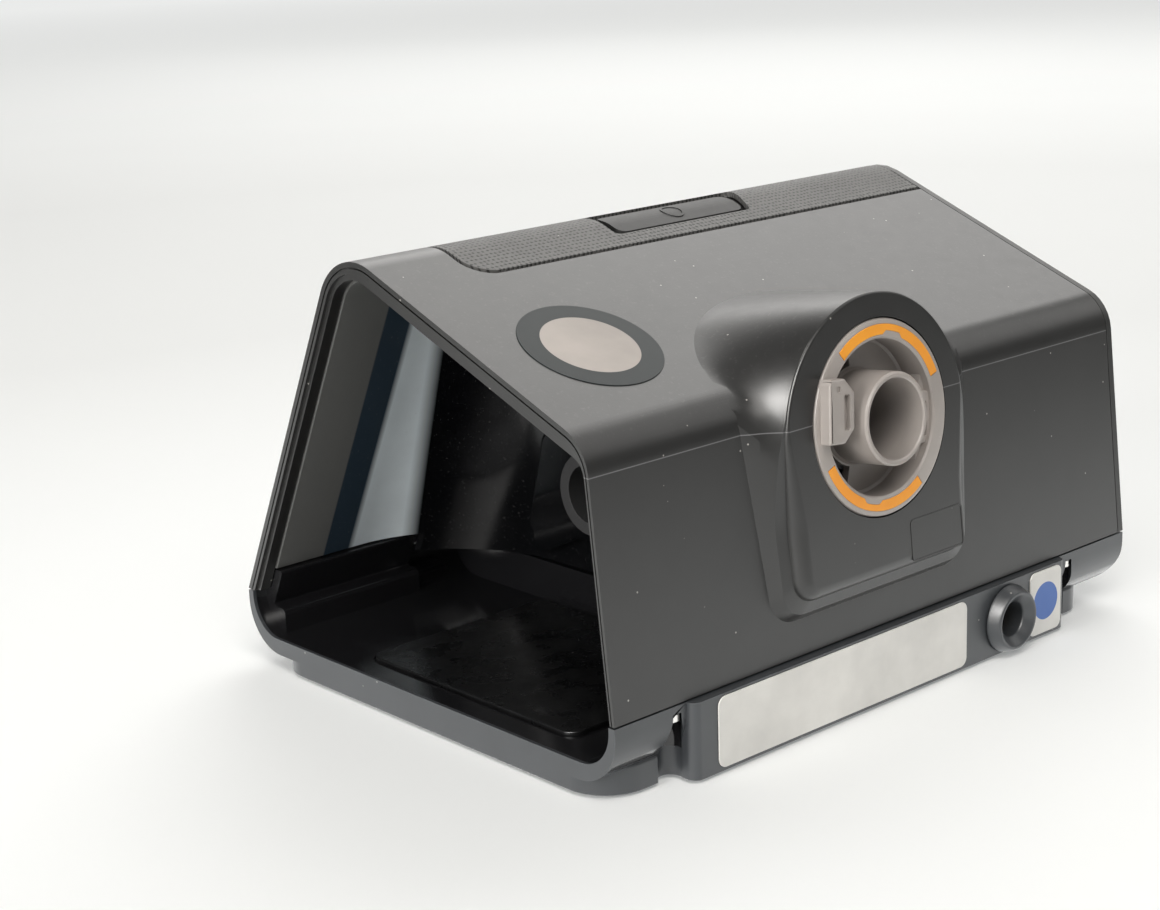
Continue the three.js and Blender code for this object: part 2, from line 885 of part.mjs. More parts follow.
function upperCase() {
  const shell = alongX(caseOutline(evenInset(0), seamHeight), caseEnd, caseRight);
  const outside = joined(shell, loft(hoodRings(0)));
  const inside = alongX(
    caseOutline(evenInset(caseWall), seamHeight - overrun),
    caseEnd - overrun,
    caseRight - rimDepth,
  );
  const mouth = alongX(
    caseOutline({ rear: rimRear, top: rimTop, front: rimFront }, seamHeight - overrun),
    caseRight - rimDepth - overrun,
    caseRight + overrun,
  );
  const hollow = cut(outside, inside, loft(hoodRings(hoodWall)), mouth);

  const holeRadius = flangeRadius + fitGap;
  const collar = rod(
    holeRadius + collarWall,
    shifted(outletFrame, 0, 0, -collarDepth),
    collarDepth + flangeDepth,
    fineSteps,
  ).intersect(outside);
  const outletHole = rod(
    holeRadius,
    shifted(outletFrame, 0, 0, -flangeDepth - fitGap),
    flangeDepth + cutSpan,
    fineSteps,
  );
  const sleeveHole = rod(
    sleeveRadius + fitGap,
    shifted(outletFrame, 0, 0, -collarDepth - cutSpan),
    collarDepth + cutSpan,
    fineSteps,
  );

  const bedInsets = { rear: roofInset, top: roofInset, front: caseWall };
  const stripBed = skinLayer(evenInset(caseWall - seatGap), bedInsets, stripPlan(caseWall));
  const bedEnd = box(caseEnd, caseRight - rimDepth, -frontAtSeam, rearAtSeam, seamHeight, high);
  const well = alongZ(buttonPlan(looseGap + wellWall), wellFloor - wellWall, high).intersect(shell);

  const ledge = prism(
    facadeOutline(facadeLedge / 2),
    shifted(frontFrame, 0, 0, -facadeThickness - fitGap - ledgeThickness),
    ledgeThickness + fitGap,
  );
  const bosses = screwPlaces.map((place) => screwBoss(place).intersect(shell));
  const built = joined(hollow, collar, stripBed.intersect(bedEnd), well, ledge, ...bosses);

  return cut(
    built,
    outletHole,
    sleeveHole,
    ...screwPlaces.map(screwHole),
    skinLayer(evenInset(-overrun), evenInset(stripSeat), stripPlan(fitGap)),
    alongZ(buttonPlan(looseGap), wellFloor, high),
    prism(
      facadeOutline(fitGap),
      shifted(frontFrame, 0, 0, -facadeThickness - fitGap),
      facadeThickness + cutSpan,
    ),
    prism(
      facadeOutline(-facadeLedge),
      shifted(frontFrame, 0, 0, -facadeThickness - cutSpan),
      facadeThickness + cutSpan,
    ),
  );
}

function topPanel() {
  const recess = rounded([
    [-recessLeft, -buttonFront - recessMargin, recessMargin],
    [recessRight, -buttonFront - recessMargin, recessMargin],
    [recessRight, -buttonRear + recessMargin, recessMargin],
    [-recessLeft + recessSlant, -buttonRear + recessMargin, recessMargin],
  ]);
  const within = box(caseEnd, caseRight, -frontAtSeam, rearAtSeam, seamHeight, high);
  const strip = skinLayer(evenInset(0), evenInset(stripThickness), stripPlan(0)).intersect(within);
  return strip.subtract(alongZ(recess, seamHeight, high));
}

function startStopButton() {
  const sunk = alongX(caseOutline(evenInset(buttonSunk), seamHeight), -caseLeft, caseRight);
  return sunk.intersect(alongZ(buttonPlan(0), buttonUnder, high));
}

// A small push switch on its own board: body and plunger from the board's face upwards
function pushSwitch(frame) {
  const half = switchSize / 2;
  const body = prism(rectangle(-half, half, -half, half), frame, switchHeight);
  return joined(body, rod(plungerRadius, frame, switchHeight + plungerHeight, arcSteps * 2));
}

function startStopSwitch() {
  const middleX = (buttonRight - buttonLeft) / 2;
  const middleY = -(buttonRear + buttonFront) / 2;
  const board = alongZ(buttonPlan(-fitGap), wellFloor + seatGap, startBoardTop);
  return joined(board, pushSwitch(atXYZ(middleX, middleY, startBoardTop)));
}

// Tub bay

// Everything inside one leaning face of the case at an inset, with the bay's rounded corner
function bayCorner(from, to, inset, wallX, radius) {
  const far = frontAtSeam + rearAtSeam;
  const along = to.clone().sub(from).normalize();
  const frame = frameAt(
    new THREE.Vector3(0, from.x, from.y),
    X,
    new THREE.Vector3(0, -along.y, along.x),
    new THREE.Vector3(0, -along.x, -along.y),
  );
  const outline = rounded([
    [wallX, inset, radius],
    [caseRight + overrun, inset, 0],
    [caseRight + overrun, far, 0],
    [wallX, far, 0],
  ]);
  return prism(outline, shifted(frame, 0, 0, -far), far + far);
}

function bayCorners(inset, wallX, frontRadius, rearRadius) {
  const front = bayCorner(ridge, frontFoot, inset, wallX, frontRadius);
  return front.intersect(bayCorner(rearFoot, shoulder, inset, wallX, rearRadius));
}

const linerInset = caseWall + fitGap;
const linerX = bayWallX - linerWall;
const padFace = bayWallX + portPadDepth;

function linerOutside() {
  const insets = { rear: linerInset, top: roofInset + fitGap, front: linerInset };
  const block = alongX(caseOutline(insets, linerLow), linerX, caseRight - rimDepth - fitGap);
  return block.intersect(
    bayCorners(linerInset, linerX, bayCornerRadius + linerWall, bayRearRadius + linerWall),
  );
}

function bayLiner() {
  const insets = {
    rear: linerInset + linerWall,
    top: roofInset + fitGap + linerWall,
    front: linerInset + linerWall,
  };
  const space = alongX(caseOutline(insets, linerLow - overrun), bayWallX, caseRight);
  const bay = space.intersect(bayCorners(linerInset + linerWall, bayWallX, bayCornerRadius, bayRearRadius));
  const pad = alongX(
    rounded([
      [-portPadKnee, portPadKneeHeight, portPadKneeRadius],
      [-portPadToe, portPadToeHeight, portPadKneeRadius],
      [-portPadHeel, portPadHeelHeight, portPadCorner],
      [portPadRear, portPadHeelHeight, portPadCorner],
      [portPadRear, portPadTop, portPadCorner],
      [-portPadFront, portPadTop, portPadCorner],
    ]),
    linerX,
    padFace,
  );
  const outside = linerOutside();
  const shell = joined(outside.subtract(bay), pad.intersect(outside));
  const railRoom = box(
    railLeft - looseGap,
    caseRight,
    -frontAtSeam,
    frontAt(railTop, caseWall) + looseGap + railDepth + looseGap,
    linerLow - overrun,
    railTop + looseGap,
  );
  const bossRoom = box(
    screwRightX - bossRadius - looseGap,
    screwRightX + bossRadius + looseGap,
    screwRearY - bossRadius - looseGap,
    rearAtSeam,
    linerLow - overrun,
    seamHeight + bossHeight + fitGap + looseGap,
  );
  return cut(shell, portBore(inletPortY), portBore(outletPortY), railRoom, bossRoom);
}

function portBore(y) {
  const start = new THREE.Vector3(linerX - overrun, y, portHeight);
  return rod(portRadius, frameAt(start, Y, Z, X), linerWall + portPadDepth + cutSpan, portSteps);
}

function portSeal(y) {
  const sleeve = portRadius - fitGap;
  const profile = [
    [sealBore, -portPadDepth],
    [sleeve, -portPadDepth],
    [sleeve, seatGap],
    [sealOuter, seatGap],
    [sealOuter, sealProud],
    [sealBore, sealProud],
    [sealBore, -portPadDepth],
  ];
  return revolve(profile, frameAt(new THREE.Vector3(padFace, y, portHeight), Y, Z, X), portSteps);
}

// Base tray

function dish(wall) {
  const low = dishBottom + wall;
  const side = rounded([
    [rearAtSeam - wall, low, dishRadius - wall],
    [rearAtSeam - wall, baseTop + wall, 0],
    [-frontAtSeam + wall, baseTop + wall, 0],
    [-frontAtSeam + wall, low, dishRadius - wall],
  ]);
  const ends = rounded([
    [-caseLeft + wall, low, dishEndRadius - wall],
    [caseRight + wall, low, 0],
    [caseRight + wall, baseTop + wall, 0],
    [-caseLeft + wall, baseTop + wall, 0],
  ]);
  const body = alongX(side, -caseLeft, caseRight);
  return body.intersect(alongY(ends, -frontAtSeam, rearAtSeam));
}

function bayFloorCut() {
  const side = rounded([
    [rearAtSeam - rimRear, bayFloor, bayFloorRadius],
    [rearAtSeam - rimRear, baseTop + overrun, 0],
    [-frontAtSeam + rimRear, baseTop + overrun, 0],
    [-frontAtSeam + rimRear, bayFloor, bayFloorRadius],
  ]);
  return alongX(side, bayWallX, caseRight + overrun);
}

function platePlan(gap) {
  return roundedRectangle(plateFar - gap, plateNear + gap, -plateFront - gap, plateRear + gap, plateCorner);
}

// The rail follows the case's front inside, from the bay's floor up to the liner
function guideRail() {
  const topFront = frontAt(railTop, caseWall) + looseGap;
  const outline = rounded([
    [-railFoot, bayFloor - seatGap, 0],
    [-railBead, bayFloor - seatGap, 0],
    [-railBead, railBeadTop, railBeadRadius],
    [-railNotch, railNotchHeight, 0],
    [topFront + railDepth, railTop, 0],
    [topFront, railTop, 0],
    [frontAt(baseTop, caseWall) + looseGap, baseTop, 0],
    [-railFoot, baseTop, 0],
  ]);
  return alongX(outline, railLeft, caseRight - rimDepth - fitGap);
}

function baseTray() {
  const plinth = alongZ(
    roundedRectangle(-plinthLeft, caseRight, -plinthFront, plinthRear, plinthCorner),
    baseUnderside,
    plinthTop,
  );
  const block = alongZ(
    rounded([
      [-blockLeft, blockBack - blockDepth, 0],
      [blockRight, blockBack - blockDepth, 0],
      [blockRight, blockBack, blockCorner],
      [-blockLeft, blockBack, blockCorner],
    ]),
    baseUnderside,
    baseTop,
  );
  const floorTop = baseUnderside + baseWall;
  const underBay = bayFloor - bayFloorThickness;
  const electronicsEnd = bayWallX - linerWall - baseWall;
  const low = box(
    -plinthLeft + baseWall,
    caseRight - baseWall,
    -plinthFront + baseWall,
    plinthRear - baseWall,
    floorTop,
    underBay,
  );
  const inside = box(-caseLeft, electronicsEnd, -frontAtSeam, rearAtSeam, floorTop, baseTop + overrun);
  const blockInside = box(
    -blockLeft + baseWall,
    electronicsEnd,
    blockBack - blockDepth,
    rearAtSeam - caseWall,
    floorTop,
    baseTop + overrun,
  );
  const plinthInside = box(
    -plinthLeft + baseWall,
    electronicsEnd,
    -plinthFront + baseWall,
    plinthRear - baseWall,
    floorTop,
    dishBottom + dishRadius,
  );
  const solidBase = joined(dish(0), plinth, block);
  const towers = screwPlaces.map(({ x, y }) => {
    const tower = rod(screwPocketRadius + towerWall, atXYZ(x, y, baseUnderside), baseTop - baseUnderside);
    return tower.intersect(solidBase);
  });
  const pockets = screwPlaces.map(({ x, y }) =>
    rod(screwPocketRadius, atXYZ(x, y, baseUnderside - overrun), screwSeat - baseUnderside + overrun),
  );
  const holes = screwPlaces.map(({ x, y }) =>
    rod(screwRadius + fitGap, atXYZ(x, y, 0), seamHeight, arcSteps * 2),
  );
  const feet = footPlaces.map(({ x, y }) =>
    rod(footRadius + fitGap, atXYZ(x, y, baseUnderside - overrun), footPocket + overrun),
  );
  const standoffs = boardCorners.map(({ x, y }) =>
    rod(standoffRadius, atXYZ(x, y, floorTop - seatGap), mainBoardUnder - floorTop, arcSteps * 2),
  );
  const heaterHole = alongZ(platePlan(looseGap), floorTop, bayFloor + overrun);
  const shell = cut(
    solidBase,
    low,
    dish(baseWall).intersect(inside),
    plinthInside,
    blockInside,
    bayFloorCut(),
    heaterHole,
  );
  return cut(
    joined(shell, guideRail(), ...towers, ...standoffs),
    ...pockets,
    ...holes,
    ...feet,
    rod(inletSleeveRadius + fitGap, shifted(inletFrame, 0, 0, -inletDepth), inletDepth + overrun),
  );
}

// Heater

function heaterPlate() {
  return alongZ(platePlan(0), plateTop - plateThickness, plateTop);
}

function heaterElement() {
  const under = plateTop - plateThickness - seatGap;
  const plan = roundedRectangle(
    plateFar + elementInset,
    plateNear - elementInset,
    -plateFront + elementInset,
    plateRear - elementInset,
    plateCorner,
  );
  return alongZ(plan, under - elementThickness, under);
}

// One unbroken wire wound as a spring, with its ends closed square
function wireSpring(x, y, low, top) {
  const turnsHeight = top - low - 2 * springWire;
  const steps = springTurns * springSteps;
  const rings = [];
  for (let i = 0; i <= steps; i++) {
    const angle = (2 * Math.PI * i) / springSteps;
    const out = new THREE.Vector3(Math.cos(angle), Math.sin(angle), 0);
    const middle = new THREE.Vector3(x, y, low + springWire + (turnsHeight * i) / steps);
    middle.addScaledVector(out, springRadius - springWire);
    const section = [];
    for (let j = 0; j < springSides; j++) {
      const around = (-2 * Math.PI * j) / springSides;
      section.push(
        middle
          .clone()
          .addScaledVector(out, springWire * Math.cos(around))
          .addScaledVector(Z, springWire * Math.sin(around)),
      );
    }
    rings.push(section);
  }
  return loft(rings);
}

// Air outlet connector

function bandPrism(start, end, gap, low, top) {
  const turn = gap / bandOuter;
  const outline = arcBar(bandInner + gap, bandOuter - gap, start + turn, end - turn, bandSteps);
  return prism(outline, shifted(outletFrame, 0, 0, low), top - low);
}

function outletConnector() {
  const web = -sleeveDepth + webThickness;
  const profile = [
    [airTubeBore, -airTubeDepth],
    [airTubeRadius, -airTubeDepth],
    [airTubeRadius, -sleeveDepth],
    [sleeveRadius, -sleeveDepth],
    [sleeveRadius, -flangeDepth],
    [flangeRadius, -flangeDepth],
    [flangeRadius, 0],
    [annulusRadius, 0],
    [annulusRadius, web],
    [airTubeRadius, web],
    [airTubeRadius, airTubeProud],
    [airTubeBore, airTubeProud],
    [airTubeBore, -airTubeDepth],
  ];
  const body = revolve(profile, outletFrame, fineSteps);
  const contactPlan = [
    point(-contactFar, -contactBottom),
    point(-contactNear - contactChamfer, -contactBottom),
    point(-contactNear, -contactBottom + contactChamfer),
    point(-contactNear, contactTop - contactChamfer),
    point(-contactNear - contactChamfer, contactTop),
    point(-contactFar, contactTop),
  ];
  const contactRoot = prism(contactPlan, shifted(outletFrame, 0, 0, web - seatGap), -web).intersect(
    rod(sleeveRadius - seatGap, shifted(outletFrame, 0, 0, -sleeveDepth), sleeveDepth + contactProud),
  );
  const contactHead = prism(
    contactPlan,
    shifted(outletFrame, 0, 0, -flangeDepth / 2),
    flangeDepth / 2 + contactProud,
  ).intersect(rod(flangeRadius, shifted(outletFrame, 0, 0, -flangeDepth), cutSpan + contactProud, fineSteps));
  const contactSlot = prism(
    rectangle(
      -contactNear - contactChamfer,
      -contactNear - contactChamfer + contactSlotWidth,
      -contactSlotBottom,
      contactSlotTop,
    ),
    shifted(outletFrame, 0, 0, contactProud - contactSlotDepth),
    contactSlotDepth + overrun,
  );
  const key = prism(
    rectangle(keyNear, annulusRadius, -keyBottom, keyTop),
    shifted(outletFrame, 0, 0, web - seatGap),
    -keyRecess - web + seatGap,
  );
  const keySlot = prism(
    rectangle(keySlotNear, keySlotNear + keySlotWidth, -keyBottom + keySlotWidth, keyTop - keySlotWidth),
    shifted(outletFrame, 0, 0, -keyRecess - contactSlotDepth),
    contactSlotDepth + overrun,
  );
  return cut(
    joined(body, contactRoot, contactHead, key),
    contactSlot,
    keySlot,
    bandPrism(upperBandStart, upperBandEnd, 0, -bandDepth, overrun),
    bandPrism(lowerBandStart, lowerBandEnd, 0, -bandDepth, overrun),
  );
}

function orangeBand(start, end) {
  return bandPrism(start, end, seatGap, -bandDepth + seatGap, 0);
}

function sweep(radius, path, steps) {
  const shape = new THREE.Shape(circle(radius, 0, 0, elbowSides));
  return solid(new THREE.ExtrudeGeometry(shape, { steps, extrudePath: path, bevelEnabled: false }));
}

// The elbow's centre line from the outlet socket down to the bay's end wall
function elbowPath(extra) {
  const start = new THREE.Vector3(0, 0, -airTubeDepth - fitGap + extra).applyMatrix4(outletFrame);
  const second = new THREE.Vector3(0, 0, -airTubeDepth - elbowReach).applyMatrix4(outletFrame);
  const end = new THREE.Vector3(linerX - fitGap + extra, outletPortY, portHeight);
  const third = end.clone().setX(linerX - elbowReach);
  return new THREE.CubicBezierCurve3(start, second, third, end);
}

function outletElbow() {
  const socketTop = -sleeveDepth - fitGap;
  const socketLow = -airTubeDepth - fitGap - elbowWall;
  const socket = rod(
    airTubeRadius + fitGap + elbowWall,
    shifted(outletFrame, 0, 0, socketLow),
    socketTop - socketLow,
    elbowSides,
  );
  const socketBore = rod(
    airTubeRadius + fitGap,
    shifted(outletFrame, 0, 0, -airTubeDepth - fitGap),
    airTubeDepth,
    elbowSides,
  );
  const tube = sweep(elbowBore + elbowWall, elbowPath(0), elbowSteps);
  return cut(joined(socket, tube), socketBore, sweep(elbowBore, elbowPath(overrun), elbowSteps));
}

// Power inlet

function powerInlet() {
  const profile = [
    [0, -inletDepth],
    [inletSleeveRadius, -inletDepth],
    [inletSleeveRadius, seatGap],
    [inletBaseRadius, seatGap],
    [inletFaceRadius, inletProud],
    [inletMouthRadius, inletProud],
    [inletBore, inletProud - inletFunnel],
    [inletBore, -inletDepth + contactDiscDepth],
    [0, -inletDepth + contactDiscDepth],
  ];
  return revolve(profile, inletFrame, inletSteps);
}

function powerContacts() {
  const floor = -inletDepth + contactDiscDepth + seatGap;
  const disc = rod(inletBore - seatGap, shifted(inletFrame, 0, 0, floor), contactDiscDepth);
  const pins = pinTurnShares.map((share) => {
    const angle = Math.PI * share;
    const [across, up] = [contactPinRing * Math.cos(angle), contactPinRing * Math.sin(angle)];
    const frame = shifted(inletFrame, across, up, floor);
    return rod(contactPinRadius, frame, contactDiscDepth + contactPinLength, arcSteps);
  });
  return joined(disc, ...pins);
}

// Labels, lying on the faces that they mark
function blockLabel(left, right) {
  const outline = roundedRectangle(left, right, labelLow, labelTop, labelCorner);
  return alongY(outline, blockBack + stickerGap, blockBack + stickerGap + labelThickness);
}

function roundSticker() {
  const up = (shoulderBack - roundLabelY) / -roofUp.x;
  return rod(roundLabelRadius, shifted(roofFrame, -roundLabelX, up, stickerGap), labelThickness, fineSteps);
}

// Display side

function frontPrism(outline, low, top) {
  return prism(outline, shifted(frontFrame, 0, 0, low), top - low);
}

function screenOutline(gap) {
  return roundedRectangle(
    screenX - screenWidth / 2 - gap,
    screenX + screenWidth / 2 + gap,
    screenUp - screenHeight / 2 - gap,
    screenUp + screenHeight / 2 + gap,
    screenCorner,
  );
}

function frontRod(radius, x, up, low, top, steps = roundSteps) {
  return rod(radius, shifted(frontFrame, x, up, low), top - low, steps);
}

const dialHoleRadius = shaftRadius + looseGap;

function displayPanel() {
  const sheet = frontPrism(facadeOutline(0), -facadeThickness, 0);
  return cut(
    sheet,
    frontPrism(screenOutline(fitGap), -lensThickness - seatGap, overrun),
    frontPrism(screenOutline(-moduleMargin), -facadeThickness - overrun, overrun),
    frontRod(dialHoleRadius, dialX, dialUp, -facadeThickness - overrun, overrun),
    frontRod(homeRadius + fitGap, homeX, dialUp, -facadeThickness - overrun, overrun),
  );
}

function screenLens() {
  return frontPrism(screenOutline(0), -lensThickness, 0);
}

function displayModule() {
  const front = -facadeThickness - seatGap;
  return frontPrism(screenOutline(moduleMargin), front - moduleDepth, front);
}

function controlBoard() {
  const outline = rectangle(
    -facadeLeft + facadeLedge + controlMargin,
    facadeRight - facadeLedge - controlMargin,
    facadeLow + facadeLedge + controlMargin,
    facadeTop - facadeLedge - controlMargin,
  );
  const board = frontPrism(outline, -controlDepth - boardThickness, -controlDepth);
  const posts = [-screenWidth / 2, screenWidth / 2].map((offset) =>
    frontRod(
      standoffRadius,
      screenX + offset,
      screenUp,
      -controlDepth - seatGap,
      -facadeThickness - moduleDepth - 2 * fitGap,
      arcSteps * 2,
    ),
  );
  return joined(board, ...posts);
}

function dial() {
  const low = dialGap;
  const top = dialHeight;
  const bore = shaftRadius + fitGap;
  const profile = [
    [0, top - dialSkin],
    [bore, top - dialSkin],
    [bore, low],
    [dialHub, low],
    [dialHub, top - dialSkin],
    [dialRadius - dialRim, top - dialSkin],
    [dialRadius - dialRim, low],
    [dialRadius, low],
    [dialRadius, top - dialRim / 2],
    [dialRadius - dialRim / 2, top],
    [0, top],
  ];
  return revolve(profile, shifted(frontFrame, dialX, dialUp, 0), fineSteps);
}

const encoderTop = -facadeThickness - dialTravel - fitGap;
const encoderLow = -controlDepth + seatGap;

function dialPlunger() {
  const low = encoderLow + dialTravel + seatGap;
  return frontRod(shaftRadius, dialX, dialUp, low, dialHeight - dialSkin - fitGap);
}

function dialEncoder() {
  const half = encoderSize / 2;
  const body = frontPrism(
    rectangle(dialX - half, dialX + half, dialUp - half, dialUp + half),
    encoderLow,
    encoderTop,
  );
  const bore = frontRod(shaftRadius + fitGap, dialX, dialUp, encoderLow - overrun, encoderTop + overrun);
  return body.subtract(bore);
}

const homePlungerTop = encoderLow + switchHeight + plungerHeight;

function homeButton() {
  const cap = frontRod(homeRadius, homeX, dialUp, -facadeThickness - looseGap, homeProud);
  const rimTop = -facadeThickness - fitGap;
  const rim = frontRod(homeRadius + homeRim, homeX, dialUp, rimTop - homeRim, rimTop);
  const stem = frontRod(plungerRadius, homeX, dialUp, homePlungerTop + homeTravel + seatGap, 0, arcSteps * 2);
  return joined(cap, rim, stem);
}

// Side panel, its tray for the air filter, and its three covers

function panelBlank() {
  const rings = bulgeInsets.map((inset, i) => {
    const x = -caseLeft - panelBulge * bulgeShares[i];
    const outline = caseOutline(evenInset(inset), seamHeight + inset);
    return outline.map((at) => new THREE.Vector3(x, at.x, at.y)).reverse();
  });
  const inner = rings[0].map((at) => at.clone().setX(caseEnd - seatGap));
  return loft([inner, ...rings]);
}

const filterPlan = [filterFront, filterRear, filterLow, filterTop];
const cardPlan = [cardFront, cardRear, cardLow, cardTop];
const accessoryPlan = [accessoryFront, accessoryRear, accessoryLow, accessoryTop];

function coverOutline([front, rear, low, top], gap) {
  const grow = coverLip + gap;
  return roundedRectangle(front - grow, rear + grow, low - grow, top + grow, coverCorner);
}

const coverBack = -caseLeft + coverSeat;

function coverPiece(plan) {
  const reach = -caseLeft - panelBulge - overrun;
  return panelBlank().intersect(alongX(coverOutline(plan, 0), reach, coverBack - seatGap));
}

function coverCuts(plan) {
  const [front, rear, low, top] = plan;
  const recess = alongX(coverOutline(plan, looseGap), -caseLeft - panelBulge - overrun, coverBack);
  const opening = alongX(rectangle(front, rear, low, top), -caseLeft - panelBulge, caseEnd + overrun);
  return [recess, opening];
}

const trayEnd = caseEnd + filterDepth;

function sidePanel() {
  const tray = box(
    -caseLeft,
    trayEnd + trayWall,
    filterFront - trayWall,
    filterRear + trayWall,
    filterLow - trayWall,
    filterTop + trayWall,
  );
  const trayInside = box(-caseLeft - overrun, trayEnd, filterFront, filterRear, filterLow, filterTop);
  const trayHole = box(trayEnd - overrun, trayEnd + cutSpan, ...snorkelMouth(0));
  const shelf = box(-caseLeft, cardSocketEnd, cardFront, cardRear, cardLow - trayWall, cardLow);
  const slotOutline = rectangle(slotFront, slotRear, slotLow, slotTop);
  const slot = alongX(slotOutline, -caseLeft - cutSpan, caseEnd + overrun);
  const notch = rod(
    notchRadius,
    frameAt(new THREE.Vector3(-caseLeft - cutSpan, filterRear + coverLip, filterTop), Y, Z, X),
    cutSpan + coverSeat,
  );
  return cut(
    joined(panelBlank(), tray, shelf),
    trayInside,
    trayHole,
    slot,
    notch,
    ...coverCuts(filterPlan),
    ...coverCuts(cardPlan),
    ...coverCuts(accessoryPlan),
  );
}

function airFilter() {
  return box(
    trayEnd - fitGap - filterThickness,
    trayEnd - fitGap,
    filterFront + fitGap,
    filterRear - fitGap,
    filterLow + fitGap,
    filterTop - fitGap,
  );
}

const cardSocketEnd = caseEnd + cardSocketLength;

function cardSocket() {
  const low = cardLow + seatGap;
  const [front, rear] = [cardFront + coverLip, cardRear - coverLip];
  const body = box(caseEnd + fitGap, cardSocketEnd, front, rear, low, low + cardSocketHeight);
  const slot = box(
    caseEnd,
    cardSocketEnd - coverLip,
    cardFront + 2 * coverLip,
    cardRear - 2 * coverLip,
    low + cardSlotFloor,
    low + cardSlotFloor + cardSlotHeight,
  );
  return body.subtract(slot);
}

function accessorySocket() {
  const body = box(
    caseEnd + seatGap,
    caseEnd + accessoryDepth,
    accessoryFront - coverLip,
    accessoryRear + coverLip,
    accessoryLow - coverLip,
    accessoryTop + coverLip,
  );
  const port = box(
    caseEnd,
    caseEnd + accessoryDepth - trayWall,
    accessoryFront + coverLip,
    accessoryRear - coverLip,
    accessoryLow + coverLip,
    accessoryTop - coverLip,
  );
  return body.subtract(port);
}

// Muffler, blower mount and blower

function snorkelMouth(wall) {
  const middle = (filterFront + filterRear) / 2;
  const half = snorkelWidth / 2;
  const low = filterLow + trayWall - wall;
  return [middle - half - wall, middle + half + wall, low, filterTop - filterThickness + wall];
}

const mufflerTop = voluteLow - mountThickness - 2 * seatGap;

function mufflerBox() {
  const left = blowerX - mufflerHalf;
  const right = blowerX + mufflerHalf;
  const front = blowerY - mufflerHalf;
  const rear = blowerY + mufflerHalf;
  const body = box(left, right, front, rear, mufflerLow, mufflerTop);
  const inside = box(
    left + mufflerWall,
    right - mufflerWall,
    front + mufflerWall,
    rear - mufflerWall,
    mufflerLow + mufflerWall,
    mufflerTop - mufflerWall,
  );
  const start = trayEnd + trayWall + fitGap;
  const [mouthFront, mouthRear, , mouthTop] = snorkelMouth(ductWall);
  const snorkel = box(start, left + overrun, mouthFront, mouthRear, snorkelLow, mouthTop);
  const [airFront, airRear, airLow, airTop] = snorkelMouth(0);
  const channelLow = snorkelLow + ductWall;
  const snorkelInside = box(start + ductWall, left - ductWall / 2, airFront, airRear, channelLow, airTop);
  const intake = box(start - overrun, start + ductWall + overrun, airFront, airRear, airLow, airTop);
  const passage = box(
    start + ductWall,
    left + mufflerWall + overrun,
    airFront,
    airRear,
    snorkelLow + ductWall,
    mufflerTop - 2 * mufflerWall,
  );
  const eyeLow = atXYZ(blowerX, blowerY, mufflerTop - mufflerWall - overrun);
  const eye = rod(eyeRadius, eyeLow, mufflerWall + cutSpan);
  return cut(joined(body, snorkel), inside, snorkelInside, intake, passage, eye);
}

function blowerMount() {
  const low = mufflerTop + seatGap;
  const ringBody = ring(eyeRadius + 2 * foamInset, eyeRadius, atXYZ(blowerX, blowerY, low), mountThickness);
  const fins = [];
  for (let i = 0; i < mountFins; i++) {
    const turned = atXYZ(blowerX, blowerY, low).multiply(
      new THREE.Matrix4().makeRotationZ((2 * Math.PI * i) / mountFins),
    );
    const reach = eyeRadius + 2 * foamInset;
    const fin = rectangle(reach - overrun, reach + finDepth, -finDepth / 2, finDepth / 2);
    fins.push(prism(fin, turned, mountThickness));
  }
  return joined(ringBody, ...fins);
}

function nozzle(radius, from, to) {
  return rod(radius, frameAt(new THREE.Vector3(from, inletPortY, portHeight), Y, Z, X), to - from, portSteps);
}

function voluteLower() {
  const cup = rod(voluteRadius, atXYZ(blowerX, blowerY, voluteLow), voluteSplit - voluteLow, fineSteps);
  const inside = rod(
    voluteRadius - voluteWall,
    atXYZ(blowerX, blowerY, voluteLow + voluteWall),
    voluteSplit,
    fineSteps,
  );
  const eye = rod(eyeRadius, atXYZ(blowerX, blowerY, voluteLow - overrun), voluteWall + cutSpan);
  const bore = nozzle(nozzleRadius - nozzleWall, blowerX, nozzleEnd + overrun);
  return cut(joined(cup, nozzle(nozzleRadius, blowerX, nozzleEnd)), inside, eye, bore);
}

const lidLow = voluteSplit + seatGap;
const lidTop = lidLow + lidThickness;
const cupTop = lidTop + motorCupHeight;

function voluteLid() {
  const seat = bearingRadius + voluteWall;
  const shaftHole = motorShaftRadius + looseGap;
  const profile = [
    [shaftHole, 0],
    [voluteRadius, 0],
    [voluteRadius, lidThickness],
    [motorCupRadius, lidThickness],
    [motorCupRadius, lidThickness + motorCupHeight],
    [motorCupRadius - motorCupWall, lidThickness + motorCupHeight],
    [motorCupRadius - motorCupWall, lidThickness],
    [seat, lidThickness],
    [seat, lidThickness + bearingHeight],
    [bearingRadius + seatGap, lidThickness + bearingHeight],
    [bearingRadius + seatGap, lidThickness],
    [shaftHole, lidThickness],
    [shaftHole, 0],
  ];
  return revolve(profile, atXYZ(blowerX, blowerY, lidLow), fineSteps);
}

function bearing(low) {
  return ring(bearingRadius, motorShaftRadius + runningGap, atXYZ(blowerX, blowerY, low), bearingHeight);
}

const impellerTop = voluteSplit - impellerClearance;
const impellerLow = impellerTop - impellerDisc - bladeHeight;
const lowerBearingLow = lidTop + seatGap;
const magnetLow = lowerBearingLow + bearingHeight + looseGap;
const capLow = cupTop + seatGap;
const upperBearingLow = capLow - bearingHeight;
const magnetTop = upperBearingLow - looseGap;

